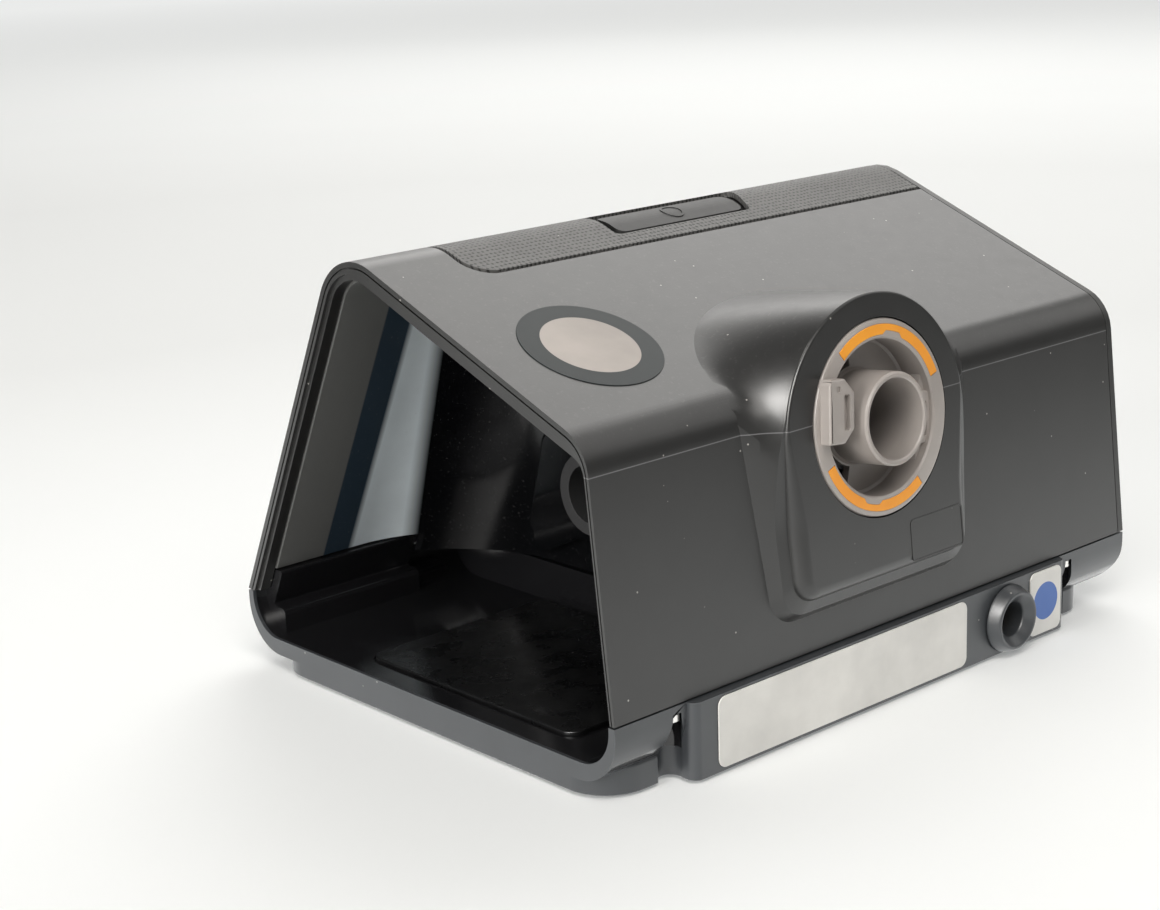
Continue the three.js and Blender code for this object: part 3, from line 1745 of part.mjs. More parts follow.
function motorCap() {
  const seat = bearingRadius + seatGap;
  const holder = seat + capHolderWall;
  const profile = [
    [seat, -bearingHeight],
    [holder, -bearingHeight],
    [holder, 0],
    [motorCupRadius, 0],
    [motorCupRadius, motorCapThickness],
    [motorShaftRadius + looseGap, motorCapThickness],
    [motorShaftRadius + looseGap, seatGap],
    [seat, seatGap],
    [seat, -bearingHeight],
  ];
  return revolve(profile, atXYZ(blowerX, blowerY, capLow), fineSteps);
}

function motorShaft() {
  const low = impellerLow + seatGap;
  const top = capLow + motorCapThickness;
  return rod(motorShaftRadius, atXYZ(blowerX, blowerY, low), top - low);
}

function rotorMagnet() {
  const low = atXYZ(blowerX, blowerY, magnetLow);
  return ring(magnetRadius, motorShaftRadius + seatGap, low, magnetTop - magnetLow);
}

function motorStator() {
  const low = (magnetLow + magnetTop - statorHeight) / 2;
  const outer = motorCupRadius - motorCupWall - seatGap;
  const rim = ring(outer, outer - statorRim, atXYZ(blowerX, blowerY, low), statorHeight, fineSteps);
  const teeth = [];
  const half = (Math.PI / statorTeeth) * toothShare;
  for (let i = 0; i < statorTeeth; i++) {
    const middle = (2 * Math.PI * i) / statorTeeth;
    const tooth = arcBar(statorInner, outer - statorRim / 2, middle - half, middle + half, toothSteps);
    teeth.push(prism(tooth, atXYZ(blowerX, blowerY, low), statorHeight));
  }
  return joined(rim, ...teeth);
}

// Impeller: a disc above swept blades, open towards the eye in the volute's floor
function bladeOutline(turn) {
  const outer = [];
  const inner = [];
  for (let i = 0; i <= bladeSteps; i++) {
    const share = i / bladeSteps;
    const radius = impellerHub + bladeRoot + (impellerRadius - impellerHub - bladeRoot) * share;
    const angle = turn + bladeSweep * share;
    const half = bladeThickness / 2 / radius;
    outer.push(point(radius * Math.cos(angle + half), radius * Math.sin(angle + half)));
    inner.push(point(radius * Math.cos(angle - half), radius * Math.sin(angle - half)));
  }
  return [...inner, ...outer.reverse()];
}

function impeller() {
  const bore = motorShaftRadius + seatGap;
  const frame = atXYZ(blowerX, blowerY, impellerLow);
  const profile = [
    [bore, 0],
    [impellerHub, 0],
    [impellerHub, bladeHeight],
    [impellerRadius, bladeHeight],
    [impellerRadius, bladeHeight + impellerDisc],
    [bore, bladeHeight + impellerDisc],
    [bore, 0],
  ];
  const blades = [];
  for (let i = 0; i < bladeCount; i++) {
    const outline = bladeOutline((2 * Math.PI * i) / bladeCount);
    blades.push(prism(outline, frame, bladeHeight + impellerDisc / 2));
  }
  return joined(revolve(profile, frame, fineSteps), ...blades);
}

function blowerDuct() {
  const inner = nozzleRadius + fitGap;
  const frame = frameAt(new THREE.Vector3(ductStart, inletPortY, portHeight), Y, Z, X);
  return ring(inner + ductWall, inner, frame, linerX - fitGap - ductStart, portSteps);
}

// Boards in the base

function mainBoard() {
  return box(
    -mainBoardLeft,
    mainBoardRight,
    -mainBoardFront,
    -mainBoardRear,
    mainBoardUnder,
    mainBoardUnder + boardThickness,
  );
}

// The whole machine

const darkPlastic = 0x3a3c3f;
const basePlastic = 0x2b2f33;
const glossBlack = 0x08090a;
const greyPlastic = 0xbeb6b2;
const orange = 0xff9d28;
const white = 0xecebe8;
const rubber = 0x1b1b1c;
const board = 0x1d5a37;

add("upper_case", upperCase(), plastic(darkPlastic, 0.55));
add("base_tray", baseTray(), plastic(basePlastic, 0.5));
add("top_panel", topPanel(), plastic(darkPlastic, 0.7));
add("start_stop_button", startStopButton(), plastic(darkPlastic, 0.4));
add("start_stop_switch", startStopSwitch(), plastic(board, 0.6));
add("bay_liner", bayLiner(), plastic(glossBlack, 0.12));
add("inlet_port_seal", portSeal(inletPortY), plastic(rubber, 0.8));
add("outlet_port_seal", portSeal(outletPortY), plastic(rubber, 0.8));
add("outlet_connector", outletConnector(), plastic(greyPlastic, 0.45));
add("orange_band_upper", orangeBand(upperBandStart, upperBandEnd), plastic(orange, 0.45));
add("orange_band_lower", orangeBand(lowerBandStart, lowerBandEnd), plastic(orange, 0.45));
add("outlet_elbow", outletElbow(), plastic(greyPlastic, 0.5));
add("power_inlet", powerInlet(), plastic(basePlastic, 0.5));
add("power_contacts", powerContacts(), metal(0xb99a4a, 0.35));
add("label_plate", blockLabel(-labelLeft, labelRight), plastic(white, 0.4));
add("notice_sticker", blockLabel(-noticeFar, -noticeNear), plastic(white, 0.4));
add("round_sticker", roundSticker(), plastic(white, 0.5));

add("display_panel", displayPanel(), plastic(glossBlack, 0.1));
add("screen_lens", screenLens(), plastic(glossBlack, 0.05));
add("display_module", displayModule(), metal(0x9aa0a4, 0.4));
add("control_board", controlBoard(), plastic(board, 0.6));
add("dial", dial(), plastic(0x55585b, 0.35));
add("dial_plunger", dialPlunger(), metal(0xb8bcc0, 0.3));
add("dial_encoder", dialEncoder(), metal(0x8c9094, 0.4));
add("home_button", homeButton(), plastic(0x55585b, 0.35));
add("home_switch", pushSwitch(shifted(frontFrame, homeX, dialUp, encoderLow)), plastic(rubber, 0.5));

add("side_panel", sidePanel(), plastic(darkPlastic, 0.55));
add("filter_cover", coverPiece(filterPlan), plastic(darkPlastic, 0.55));
add("air_filter", airFilter(), plastic(0xd8d8d2, 0.95));
add("card_cover", coverPiece(cardPlan), plastic(darkPlastic, 0.55));
add("card_socket", cardSocket(), metal(0x9aa0a4, 0.4));
add("accessory_cover", coverPiece(accessoryPlan), plastic(darkPlastic, 0.55));
add("accessory_socket", accessorySocket(), plastic(rubber, 0.5));

add("heater_plate", heaterPlate(), metal(0x4a4c4e, 0.25));
add("heater_element", heaterElement(), plastic(0xa0522d, 0.6));
springPlaces.forEach(({ x, y }, i) => {
  const body = wireSpring(x, y, baseUnderside + baseWall + seatGap, plateTop - plateThickness - seatGap);
  add("heater_spring_" + (i + 1), body, metal(0xc4c6c8, 0.3));
});

screwPlaces.forEach((place) => screw(place));
footPlaces.forEach(({ x, y }, i) => {
  add("foot_" + (i + 1), rod(footRadius, atXYZ(x, y, 0), footThickness), plastic(rubber, 0.9));
});

add("main_board", mainBoard(), plastic(board, 0.6));
add("muffler_box", mufflerBox(), plastic(0x4b4e50, 0.6));
add("blower_mount", blowerMount(), plastic(0x6a6d70, 0.8));
add("volute_lower", voluteLower(), plastic(0xcfd2d4, 0.5));
add("volute_lid", voluteLid(), plastic(0xcfd2d4, 0.5));
add("impeller", impeller(), plastic(0xe4e5e6, 0.4));
add("motor_shaft", motorShaft(), metal(0xc9ccd0, 0.2));
add("rotor_magnet", rotorMagnet(), metal(0x55585c, 0.4));
add("motor_stator", motorStator(), metal(0xa8683c, 0.4));
add("bearing_lower", bearing(lowerBearingLow), metal(0xc9ccd0, 0.2));
add("bearing_upper", bearing(upperBearingLow), metal(0xc9ccd0, 0.2));
add("motor_cap", motorCap(), metal(0x9aa0a4, 0.4));
add("blower_duct", blowerDuct(), plastic(0x6a6d70, 0.8));

machine.name = "cpap_machine";
export default machine;
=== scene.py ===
import math

import bpy
import numpy as np
from bpy.props import FloatProperty, FloatVectorProperty, PointerProperty
from mathutils import Matrix, Vector


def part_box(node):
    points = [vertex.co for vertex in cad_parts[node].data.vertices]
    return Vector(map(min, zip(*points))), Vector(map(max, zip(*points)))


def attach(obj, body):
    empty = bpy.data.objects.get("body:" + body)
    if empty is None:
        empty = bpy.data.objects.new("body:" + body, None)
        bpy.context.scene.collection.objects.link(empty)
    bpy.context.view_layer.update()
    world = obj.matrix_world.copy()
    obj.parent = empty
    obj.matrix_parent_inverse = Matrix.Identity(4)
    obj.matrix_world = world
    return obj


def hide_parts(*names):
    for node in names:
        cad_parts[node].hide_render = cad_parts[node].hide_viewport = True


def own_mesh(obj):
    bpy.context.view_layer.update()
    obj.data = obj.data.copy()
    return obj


bl_info = {
    "name": "CPAP machine",
    "version": (1, 0, 0),
    "blender": (4, 5, 0),
    "location": "View3D > Sidebar > Machine",
    "description": "Builds a bedside CPAP machine piece by piece round its packed frame",
    "category": "Add Mesh",
}

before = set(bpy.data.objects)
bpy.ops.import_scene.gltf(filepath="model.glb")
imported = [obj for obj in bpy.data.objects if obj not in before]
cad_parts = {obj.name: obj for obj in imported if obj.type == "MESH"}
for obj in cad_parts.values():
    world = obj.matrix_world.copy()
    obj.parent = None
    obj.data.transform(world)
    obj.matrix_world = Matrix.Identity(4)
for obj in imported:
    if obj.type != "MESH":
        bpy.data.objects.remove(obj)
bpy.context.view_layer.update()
MM = 0.001

# Clearances, and how far cutters run past what they cut
GAP = 0.3
LOOSE_GAP = 0.5
OVER = 1.0
LONG_OVER = 6.0
HIGH = 125.0
FAR = 150.0

# Radii of rounded edges, in metres
CASE_EDGE = 0.0004
SOFT_EDGE = 0.0003
FINE_EDGE = 0.0002
CRISP_EDGE = 0.0001
RING_EDGE = 0.00022
BAND_EDGE = 0.00012
WORN_AND_HIGHLIT_EDGE = 0.0006

# Depths of grain and waves in the surfaces, in metres
GRAIN = 0.00002
CASE_GRAIN = 0.000012
FINE_GRAIN = 0.00001
RING_GRAIN = 0.000008
PAPER_GRAIN = 0.000006
RUBBER_GRAIN = 0.00004
FLEECE_GRAIN = 0.0003
TRACK_HEIGHT = 0.00004
PIT_DEPTH = 0.0002
LINING_WAVE = 0.0004
GLASS_WAVE = 0.0002

# How far apart points of a CAD piece are joined, in metres
JOIN_DISTANCE = 0.000002

# Case: its side section, in from the open end at the bay to the closed left end
SEAM = 20.8
REAR_FOOT = np.array([68.4, SEAM])
SHOULDER = np.array([61.9, 85.2])
RIDGE = np.array([-27.0, 121.2])
FRONT_FOOT = np.array([-76.3, SEAM])
SHOULDER_RADIUS = 12.0
RIDGE_RADIUS = 16.0
LEAST_RADIUS = 0.5
CASE_LEFT = -96.8
CASE_END = -94.4
CASE_RIGHT = 99.4
CASE_WALL = 2.2
ROOF_WALL = 4.0
RIM = (2.0, 5.3, 3.9)
RIM_DEPTH = 4.0
LIP = ((0.7, 1.3, 1.3), (1.05, 1.75, 1.75), (1.5, 3.3, 2.6))
LIP_GROOVE = 0.8
LIP_STEP = 0.9
# The mould line round the back, painted pale as its highlight
MOULD_LINE = 77.8
MOULD_LINE_HALF = 0.12
MOULD_LINE_FRONT = 25.25
MOULD_LINE_FADE = 1.5

# Outlet hood
HOOD_X = 10.1
HOOD_BACK = 69.8
HOOD_WALL = 2.4
HOOD_FACE = (32.6, 31.8, 35.0, 6.0, 73.4, 105.6)
HOOD_FOOT = (42.0, 36.6, 29.8, 8.0, 84.3, 100.0)
HOOD_REACH = -18.0
HOOD_ROOT = 5.6
HOOD_EDGE = (0.6, 4.0)
HOOD_EDGE_HEIGHTS = (80.0, 54.0)
EDGE_DEPTH_SHARE = 0.7
FLARE = 1.1
PLAQUE = (-18.6, 1.7, -38.4, -27.6)
PLAQUE_CORNER = 1.2
PLAQUE_LINE = 0.45
PLAQUE_PROUD = 0.14
PLAQUE_ROOT = 0.1
COLLAR_WALL = 1.8
COLLAR_DEPTHS = (9.0, 1.0)

# Outlet connector, in its own tilted frame
OUTLET_X = 9.3
OUTLET_BACK = 70.3
OUTLET_HEIGHT = 75.0
OUTLET_TILT = math.radians(6)
OUTLET_ROLL = math.radians(-6)
FLANGE_RADIUS = 24.3
FLANGE_DEPTH = 3.0
FLANGE_ROUND = ((0.0, 0.9), (0.3, 0.25), (0.95, 0.0))
ANNULUS_RADIUS = 19.3
ANNULUS_BEVEL = 0.5
SLEEVE_RADIUS = 21.2
SLEEVE_DEPTH = 10.5
SLEEVE_ROOM = 15.0
WEB = 2.0
WEB_CORNER = 0.6
TUBE_RADIUS = 11.5
TUBE_BORE = 10.0
TUBE_PROUD = 4.6
TUBE_DEPTH = 22.0
TUBE_BEVEL = 0.5
BORE_BEVEL = 0.35
BAND = (20.2, 22.9)
BAND_DEPTH = 0.8
BAND_PROUD = 0.12
BAND_PLAY = 0.05
BAND_END_PLAY = 0.3
BANDS = {"band_upper": (25.0, 133.0), "band_lower": (209.0, 310.0)}
NOTCH_WIDTH = 0.36
NOTCH_HALF = 0.19
NOTCH_FADE = 0.06
VENTS = ((100.0, 160.0), (198.0, 258.0))
VENT_RADII = (18.5, 12.6)
VENT_REACH = 1.5
CONTACT_PLAN = (
    (-22.4, -4.6, 0.4),
    (-17.0, -4.6, 0.8),
    (-13.6, -1.2, 1.2),
    (-13.6, 7.6, 1.2),
    (-17.0, 11.0, 0.8),
    (-22.4, 11.0, 0.4),
)
CONTACT_PROUD = 3.2
CONTACT_EDGE = 0.7
CONTACT_ROOT = 20.9
ROOT_REACH = (12.0, 4.0)
HEAD_REACH = (3.0, 9.0)
CONTACT_FOOT = 1.5
CONTACT_SLOT = (-17.6, -15.3, -1.4, 7.2, 0.7)
CONTACT_DOT = (-19.4, 8.6, 0.75, 0.4)
SLOT_DEPTH = 1.5
KEY = (14.6, 19.5, -8.0, 5.0, 0.8)
KEY_RECESS = 1.4
KEY_EDGE = 0.4
KEY_SLOT = (16.2, 18.3, -6.2, 2.6, 0.5)
KEY_WINGS = (
    ((15.6, 4.0, 0), (19.2, 4.0, 0), (17.2, 9.6, 0.2)),
    ((15.0, -13.0, 0.2), (18.0, -7.0, 0), (14.8, -7.0, 0)),
)
WING_RECESS = 2.4
SHADED_DEPTHS = (1.5, 8.0)

# Tub bay
BAY_WALL = 29.0
LINER_WALL = 2.0
LINER_LOW = 21.3
LINER_INSET = 2.5
BAY_FRONT_RADIUS = 38.0
BAY_REAR_RADIUS = 8.0
BAY_FLOOR = 9.0
BAY_FLOOR_RADIUS = 10.0
PAD_DEPTH = 4.0
PAD_EDGE = 1.6
PORT_HEIGHT = 46.0
PORTS_Y = (-8.0, 24.0)
PORT_RADIUS = 9.0
PORT_REACH = (4.0, 12.0)
PORT_PAD = (
    (-36.8, 33.0, 3.0),
    (-33.8, 22.8, 3.0),
    (-16.8, 30.7, 6.0),
    (39.0, 30.7, 6.0),
    (39.0, 61.0, 6.0),
    (-29.0, 61.0, 6.0),
)
RAIL_ROOM = (-76.3, -61.5, 27.0)
BOSS_ROOM = (76.3, 82.9, 62.2, 68.4)
BOSS_ROOM_TOP = 27.2
DULL_FROM = 79.85
DULL_FADE = 0.7
# Where the painted reflection on the lining's front wall lies: its pale band, then its bluish strip
REFLECTION_BAND_INNER = 50.5
REFLECTION_BAND_HEIGHT = 30.0
REFLECTION_BAND_LEAN = 0.13
REFLECTION_BAND_FADE = 4.5
REFLECTION_BAND_OUTER = 70.5
REFLECTION_BAND_OUTER_FADE = 2.0
REFLECTION_STRIP_FROM = 67.5
REFLECTION_STRIP_FADE = 3.0
FRONT_LINING = -75.5
FRONT_LINING_FADE = 2.0

# Base tray
BASE_TOP = 20.3
BASE_UNDER = 1.0
DISH_BOTTOM = 4.6
DISH_RADIUS = 13.0
DISH_END_RADIUS = 10.0
BASE_WALL = 2.2
HOLLOW_Y = (-76.0, 69.0)
HOLLOW_TOP = 17.6
TRAY_HIGH = 22.0
PLINTH = (-85.0, 99.4, -66.0, 64.6)
PLINTH_TOP = 8.6
PLINTH_CORNERS = (8.0, 12.0)
PLINTH_EDGE = 1.6
PLINTH_HOLLOW_TOP = 6.8
BLOCK = (-66.9, 76.6)
BLOCK_BACK = 70.8
BLOCK_DEPTH = 18.0
BLOCK_CORNER = 2.5
BLOCK_HOLLOW_BACK = 66.2
RAIL_START = 49.0
RAIL_FRONT = -75.0
RAIL_REAR = -66.0
RAIL_STEP = (-71.0, 15.6, 16.2)
RAIL_TOP = 26.5
RAIL_WIDTH = 4.6
RAIL_RADII = (1.6, 0.5, 0.6, 0.2)
SCREWS = [(79.6, 65.5), (-71.4, 65.5), (20.2, -71.1), (-71.4, -71.1)]
SCREW_POCKET = 3.2
SCREW_SEAT = 18.3
SCREW_HOLE = 1.6
TOWER_WALL = 1.2
FEET = [(84.0, 52.0), (-74.0, 52.0), (84.0, -52.0), (-74.0, -52.0)]
FOOT_RADIUS = 6.0
FOOT_SEAT = 1.3
POLISH_Y = (-74.4, 66.4)
POLISH_LOW = 8.4
POLISH_FADE = 0.4
POLISH_END = 98.45
POLISH_END_FADE = 0.5

# Heater plate and its springs
PLATE = (31.6, 91.3, -33.8, 44.7)
PLATE_TOP = 10.0
PLATE_THICKNESS = 1.6
PLATE_CORNER = 4.0
PLATE_EDGE = 0.35
SPRINGS = ("heater_spring_1", "heater_spring_2", "heater_spring_3", "heater_spring_4")
SPRING_RADIUS = 3.2
SPRING_WIRE = 0.45
SPRING_TURNS = 3
SPRING_GAP = 0.05

# Power inlet, as radii and heights from the label block's back
INLET_X = -41.0
INLET_HEIGHT = 10.3
INLET_SLEEVE = 6.4
INLET_DEPTH = 12.0
INLET_FLOOR = (4.5, 10.0)
INLET_PROFILE = (
    (INLET_SLEEVE, -INLET_DEPTH),
    (INLET_SLEEVE, 0.3),
    (9.2, 0.3),
    (9.1, 0.9),
    (8.2, 3.2),
    (7.7, 3.8),
    (7.1, 3.8),
    (6.6, 3.4),
    (4.9, 1.9),
    (4.6, 1.2),
    (4.6, -10.0),
    (4.4, -10.0),
    (4.4, -INLET_DEPTH),
)

# Top panel and its button
STRIP = (-32.5, -3.6)
STRIP_END = 73.6
STRIP_CORNER = 8.0
STRIP_THICKNESS = 1.5
STRIP_GROOVE = 1.2
STRIP_WITHIN = (-76.0, 68.0)
BUTTON = (-28.0, 19.0, -20.6, -10.2)
BUTTON_CORNER = 2.6
BUTTON_SUNK = 0.7
BUTTON_UNDER = 112.7
BUTTON_ROOM = 105.4
BUTTON_MARK = (-5.0, -15.4)
MARK_RADII = (3.4, 2.7)
MARK_PROUD = 0.22
RECESS_X = (-33.5, 22.0, -28.5)
RECESS_MARGIN = 1.8

# Display side, measured up the front slope
FACADE = (-92.0, 44.0, 6.0, 93.0)
FACADE_CORNER = 5.0
FACADE_THICKNESS = 2.0
FACADE_EDGE = 0.5
FACADE_OVER = 4.0
SCREEN = (-24.0, 66.0)
SCREEN_SIZE = (58.0, 40.0)
SCREEN_CORNER = 2.0
SCREEN_DEPTHS = (1.3, 0.1)
SCREEN_EDGE = 0.2
DIAL = (-4.0, 28.0)
DIAL_RADIUS = 16.0
DIAL_MARGIN = 0.8
DIAL_SUNK = 1.2
DIAL_HOLE = 3.8
DIAL_LIFT = 0.1
DIAL_GRIPS = 44
GRIP_DEPTH = 0.15
DIAL_PROFILE = (
    (12.5, 0.0, 0.0),
    (15.2, 0.0, 0.0),
    (15.75, 0.5, 0.6),
    (15.85, 1.2, 1.0),
    (15.85, 4.6, 1.0),
    (15.4, 5.4, 0.7),
    (14.8, 5.85, 0.2),
    (14.2, 6.0, 0.0),
    (13.7, 5.9, 0.0),
    (12.9, 5.35, 0.0),
    (9.0, 5.0, 0.0),
    (3.0, 4.9, 0.0),
    (0.4, 4.9, 0.0),
)
HOME = (-42.0, 28.0)
HOME_RADIUS = 4.6
HOME_COLLAR = HOME_RADIUS + 0.9
HOME_PROFILE = (
    (2.0, -2.9),
    (HOME_COLLAR, -2.9),
    (HOME_COLLAR, -2.2),
    (HOME_RADIUS, -2.2),
    (HOME_RADIUS, 0.1),
    (HOME_RADIUS - 0.35, 0.5),
    (3.0, 0.35),
    (0.3, 0.28),
)

# Labels
LABELS = {"rating_label": (-23.5, 68.8, 2.4), "small_notice": (-64.2, -50.6, 2.0)}
LABEL_LOW = 1.9
LABEL_TOP = 19.7
STICKER_GAP = 0.05
LABEL_THICKNESS = 0.35
LABEL_EDGE = 0.12
NOTICE_DISC = (-57.4, 10.9, 5.25)
DISC_FADE = 0.1
ROUND_LABEL = (68.3, 30.6, 18.0)
ROUND_DISC = 12.35
ROUND_THICKNESS = 0.16
ROUND_EDGE = 0.08

# Stage: places in metres, turns in degrees and the camera's sensor in millimetres
CAMERA_PLACE = (0.4103, 0.40649, 0.21144)
CAMERA_TURN = 41.40
CAMERA_TILT = 15.247
CAMERA_ROLL = -2.19
CAMERA_SHIFT = (0.0167, -0.0059)
CAMERA_CLIP = (0.01, 30.0)
SENSOR = 36.0
FLOOR_REACH = 9.0
FLOOR_TILES = 12
LAMP_AIM = (0.0, 0.0, 0.05)
LAMPS = (
    ("key", (0.75, 1.0, 1.75), 1.2, 24.0, (1.0, 0.97, 0.93)),
    ("left", (1.74, 0.16, 0.46), 0.8, 20.0, (1.0, 0.98, 0.95)),
    ("glint", (1.31, 0.53, 1.08), 0.9, 60.0, (1.0, 0.98, 0.95)),
    ("back", (-1.12, -0.72, 1.36), 1.4, 17.5, (1.0, 0.985, 0.96)),
    ("edge", (-1.15, 0.62, 1.15), 1.2, 7.0, (1.0, 0.985, 0.96)),
    ("crest", (-1.25, -1.45, 0.62), 1.0, 3.2, (1.0, 0.985, 0.96)),
)
GLOSS_LAMPS = ("glint", "edge", "crest")
WORLD_LIGHT = (0.24, 0.88)

# Floor, as distances from the machine in metres and the strengths at them
DIM_MIRRORED = (0.45, 1.0)
GLOW_NEAR = (0.2, 0.45, 0.21, 0.10)
GLOW_FAR = (0.9, 3.0, 0.0, 0.53)
GLOW_MIRRORED = (0.25, 0.7, 1.05, 0.0)


# Settings that a user would change


def size_setting(name, description, default):
    return FloatProperty(name=name, description=description, default=default, unit="LENGTH")


def colour_setting(name, description, default):
    return FloatVectorProperty(
        name=name, description=description, default=default, subtype="COLOR", size=3, min=0, max=1
    )


class CaseSettings(bpy.types.PropertyGroup):
    edge: size_setting("Edge radius", "Rounding of the mouldings' cut edges", CASE_EDGE)
    case_colour: colour_setting("Case", "Colour of the case and its covers", (0.017, 0.017, 0.0166))
    base_colour: colour_setting("Base", "Colour of the base tray", (0.042, 0.046, 0.051))
    panel_colour: colour_setting("Top panel", "Colour of the textured panel", (0.100, 0.099, 0.095))


class BaySettings(bpy.types.PropertyGroup):
    lining: colour_setting("Lining", "Colour of the bay's glossy lining", (0.0028, 0.003, 0.0035))
    plate: colour_setting("Heater plate", "Colour of the heater plate", (0.009, 0.0093, 0.010))


class OutletSettings(bpy.types.PropertyGroup):
    ring: colour_setting("Connector", "Colour of the outlet connector", (0.375, 0.342, 0.32))
    band: colour_setting("Bands", "Colour of the two bands on the connector", (1.0, 0.36, 0.018))


class LabelSettings(bpy.types.PropertyGroup):
    paper: colour_setting("Label", "Colour of the plain labels", (0.74, 0.73, 0.70))
    disc: colour_setting("Disc", "Colour of the disc on the small notice", (0.02, 0.11, 0.42))


class StageSettings(bpy.types.PropertyGroup):
    lens: FloatProperty(name="Lens", description="Camera lens in millimetres", default=68.349)
    floor_colour: colour_setting("Floor", "Colour of the floor", (0.745, 0.758, 0.755))


# Outlines, as arrays of points in two axes


def rounded(corners, steps=12):
    """A closed outline: each corner (a, b, radius) gives way to the arc of that radius that
    touches both of its edges."""
    corners = np.asarray(corners, float)
    pieces = []
    for k, (a, b, radius) in enumerate(corners):
        here = np.array([a, b])
        if radius <= 0:
            pieces.append(here[None])
            continue
        back = corners[k - 1, :2] - here
        ahead = corners[(k + 1) % len(corners), :2] - here
        back, ahead = back / np.linalg.norm(back), ahead / np.linalg.norm(ahead)
        half = math.acos(np.clip(back @ ahead, -1, 1)) / 2
        middle = here + (back + ahead) / np.linalg.norm(back + ahead) * radius / math.sin(half)
        start = here + back * radius / math.tan(half) - middle
        end = here + ahead * radius / math.tan(half) - middle
        whole = math.atan2(start[0] * end[1] - start[1] * end[0], start @ end)
        t = np.linspace(0, whole, steps + 1)
        turned_a = start[0] * np.cos(t) - start[1] * np.sin(t)
        turned_b = start[0] * np.sin(t) + start[1] * np.cos(t)
        pieces.append(middle + np.stack([turned_a, turned_b], 1))
    return np.concatenate(pieces)


def rectangle(left, right, low, top, radius=0.0, steps=10):
    corners = [(left, low), (right, low), (right, top), (left, top)]
    return rounded([(a, b, radius) for a, b in corners], steps)


def grown(sizes, gap):
    left, right, low, top = sizes
    return (left - gap, right + gap, low - gap, top + gap)


def circle(radius, count=64, a=0.0, b=0.0):
    """Points (a + r cos t, b + r sin t) for t round the full circle."""
    t = np.linspace(0, 2 * math.pi, count, endpoint=False)
    return np.stack([a + radius * np.cos(t), b + radius * np.sin(t)], 1)


def shrunk(outline, inset):
    """Each point of a closed outline moved inwards by the inset, along the normal of the chord
    between its two neighbours."""
    ahead, back = np.roll(outline, -1, 0), np.roll(outline, 1, 0)
    along = ahead - back
    along /= np.linalg.norm(along, axis=1, keepdims=True)
    area = np.sum(outline[:, 0] * ahead[:, 1] - outline[:, 1] * ahead[:, 0])
    inward = np.stack([-along[:, 1], along[:, 0]], 1) * math.copysign(1, area)
    return outline + inward * np.reshape(inset, (-1, 1))


def inset_line(a, b, inset):
    along = (b - a) / np.linalg.norm(b - a)
    return a + inset * np.array([-along[1], along[0]]), along


def meet(first, second):
    (a, u), (b, v) = first, second
    apart = b - a
    share = (apart[0] * v[1] - apart[1] * v[0]) / (u[0] * v[1] - u[1] * v[0])
    return a + share * u


def side_section(rear, top, front, bottom=SEAM):
    """The case's side outline in (y, z), each leaning face moved inwards by its own inset."""
    back = inset_line(REAR_FOOT, SHOULDER, rear)
    roof = inset_line(SHOULDER, RIDGE, top)
    face = inset_line(RIDGE, FRONT_FOOT, front)
    floor = (np.array([0.0, bottom]), np.array([1.0, 0.0]))
    turns = (max(LEAST_RADIUS, radius - top) for radius in (SHOULDER_RADIUS, RIDGE_RADIUS))
    radii = (0, *turns, 0)
    points = (meet(floor, back), meet(back, roof), meet(roof, face), meet(face, floor))
    return rounded([(*p, r) for p, r in zip(points, radii)], 18)


def even_section(inset, bottom=SEAM):
    return side_section(inset, inset, inset, bottom)


# Frames: an origin and three axes; outlines lie on the first two and grow along the third


def axes(origin, first, second, third):
    return tuple(np.asarray(v, float) for v in (origin, first, second, third))


SLOPE = (RIDGE - FRONT_FOOT) / np.linalg.norm(RIDGE - FRONT_FOOT)
FRONT_LEAN = SLOPE[0] / SLOPE[1]
ROOF = (RIDGE - SHOULDER) / np.linalg.norm(RIDGE - SHOULDER)
SIDE = axes((0, 0, 0), (0, 1, 0), (0, 0, 1), (1, 0, 0))
REAR = axes((0, 0, 0), (1, 0, 0), (0, 0, 1), (0, 1, 0))
PLAN = axes((0, 0, 0), (1, 0, 0), (0, 1, 0), (0, 0, 1))
FRONT = axes((0, *FRONT_FOOT), (1, 0, 0), (0, *SLOPE), (0, -SLOPE[1], SLOPE[0]))
ROOF_SIDE = axes((0, *SHOULDER), (-1, 0, 0), (0, *ROOF), (0, ROOF[1], -ROOF[0]))
LEANT = (0, -math.sin(OUTLET_TILT), math.cos(OUTLET_TILT))
OUTWARD = (0, math.cos(OUTLET_TILT), math.sin(OUTLET_TILT))
OUTLET = axes((OUTLET_X, OUTLET_BACK, OUTLET_HEIGHT), (-1, 0, 0), LEANT, OUTWARD)
KEYED = axes(
    OUTLET[0],
    math.cos(OUTLET_ROLL) * OUTLET[1] + math.sin(OUTLET_ROLL) * OUTLET[2],
    math.cos(OUTLET_ROLL) * OUTLET[2] - math.sin(OUTLET_ROLL) * OUTLET[1],
    OUTLET[3],
)
HOOD_FRONT = axes((0, HOOD_BACK, OUTLET_HEIGHT), (1, 0, 0), LEANT, OUTWARD)
INLET = axes((INLET_X, BLOCK_BACK, INLET_HEIGHT), (-1, 0, 0), (0, 0, 1), (0, 1, 0))


def at(where, a, b, c):
    """The frame's origin plus a, b and c along its three axes."""
    origin, first, second, third = where
    a, b, c = np.broadcast_arrays(a, b, c)
    return origin + a[..., None] * first + b[..., None] * second + c[..., None] * third


def moved(where, a, b):
    return (at(where, a, b, 0.0), *where[1:])


# Closed surfaces, as points and faces


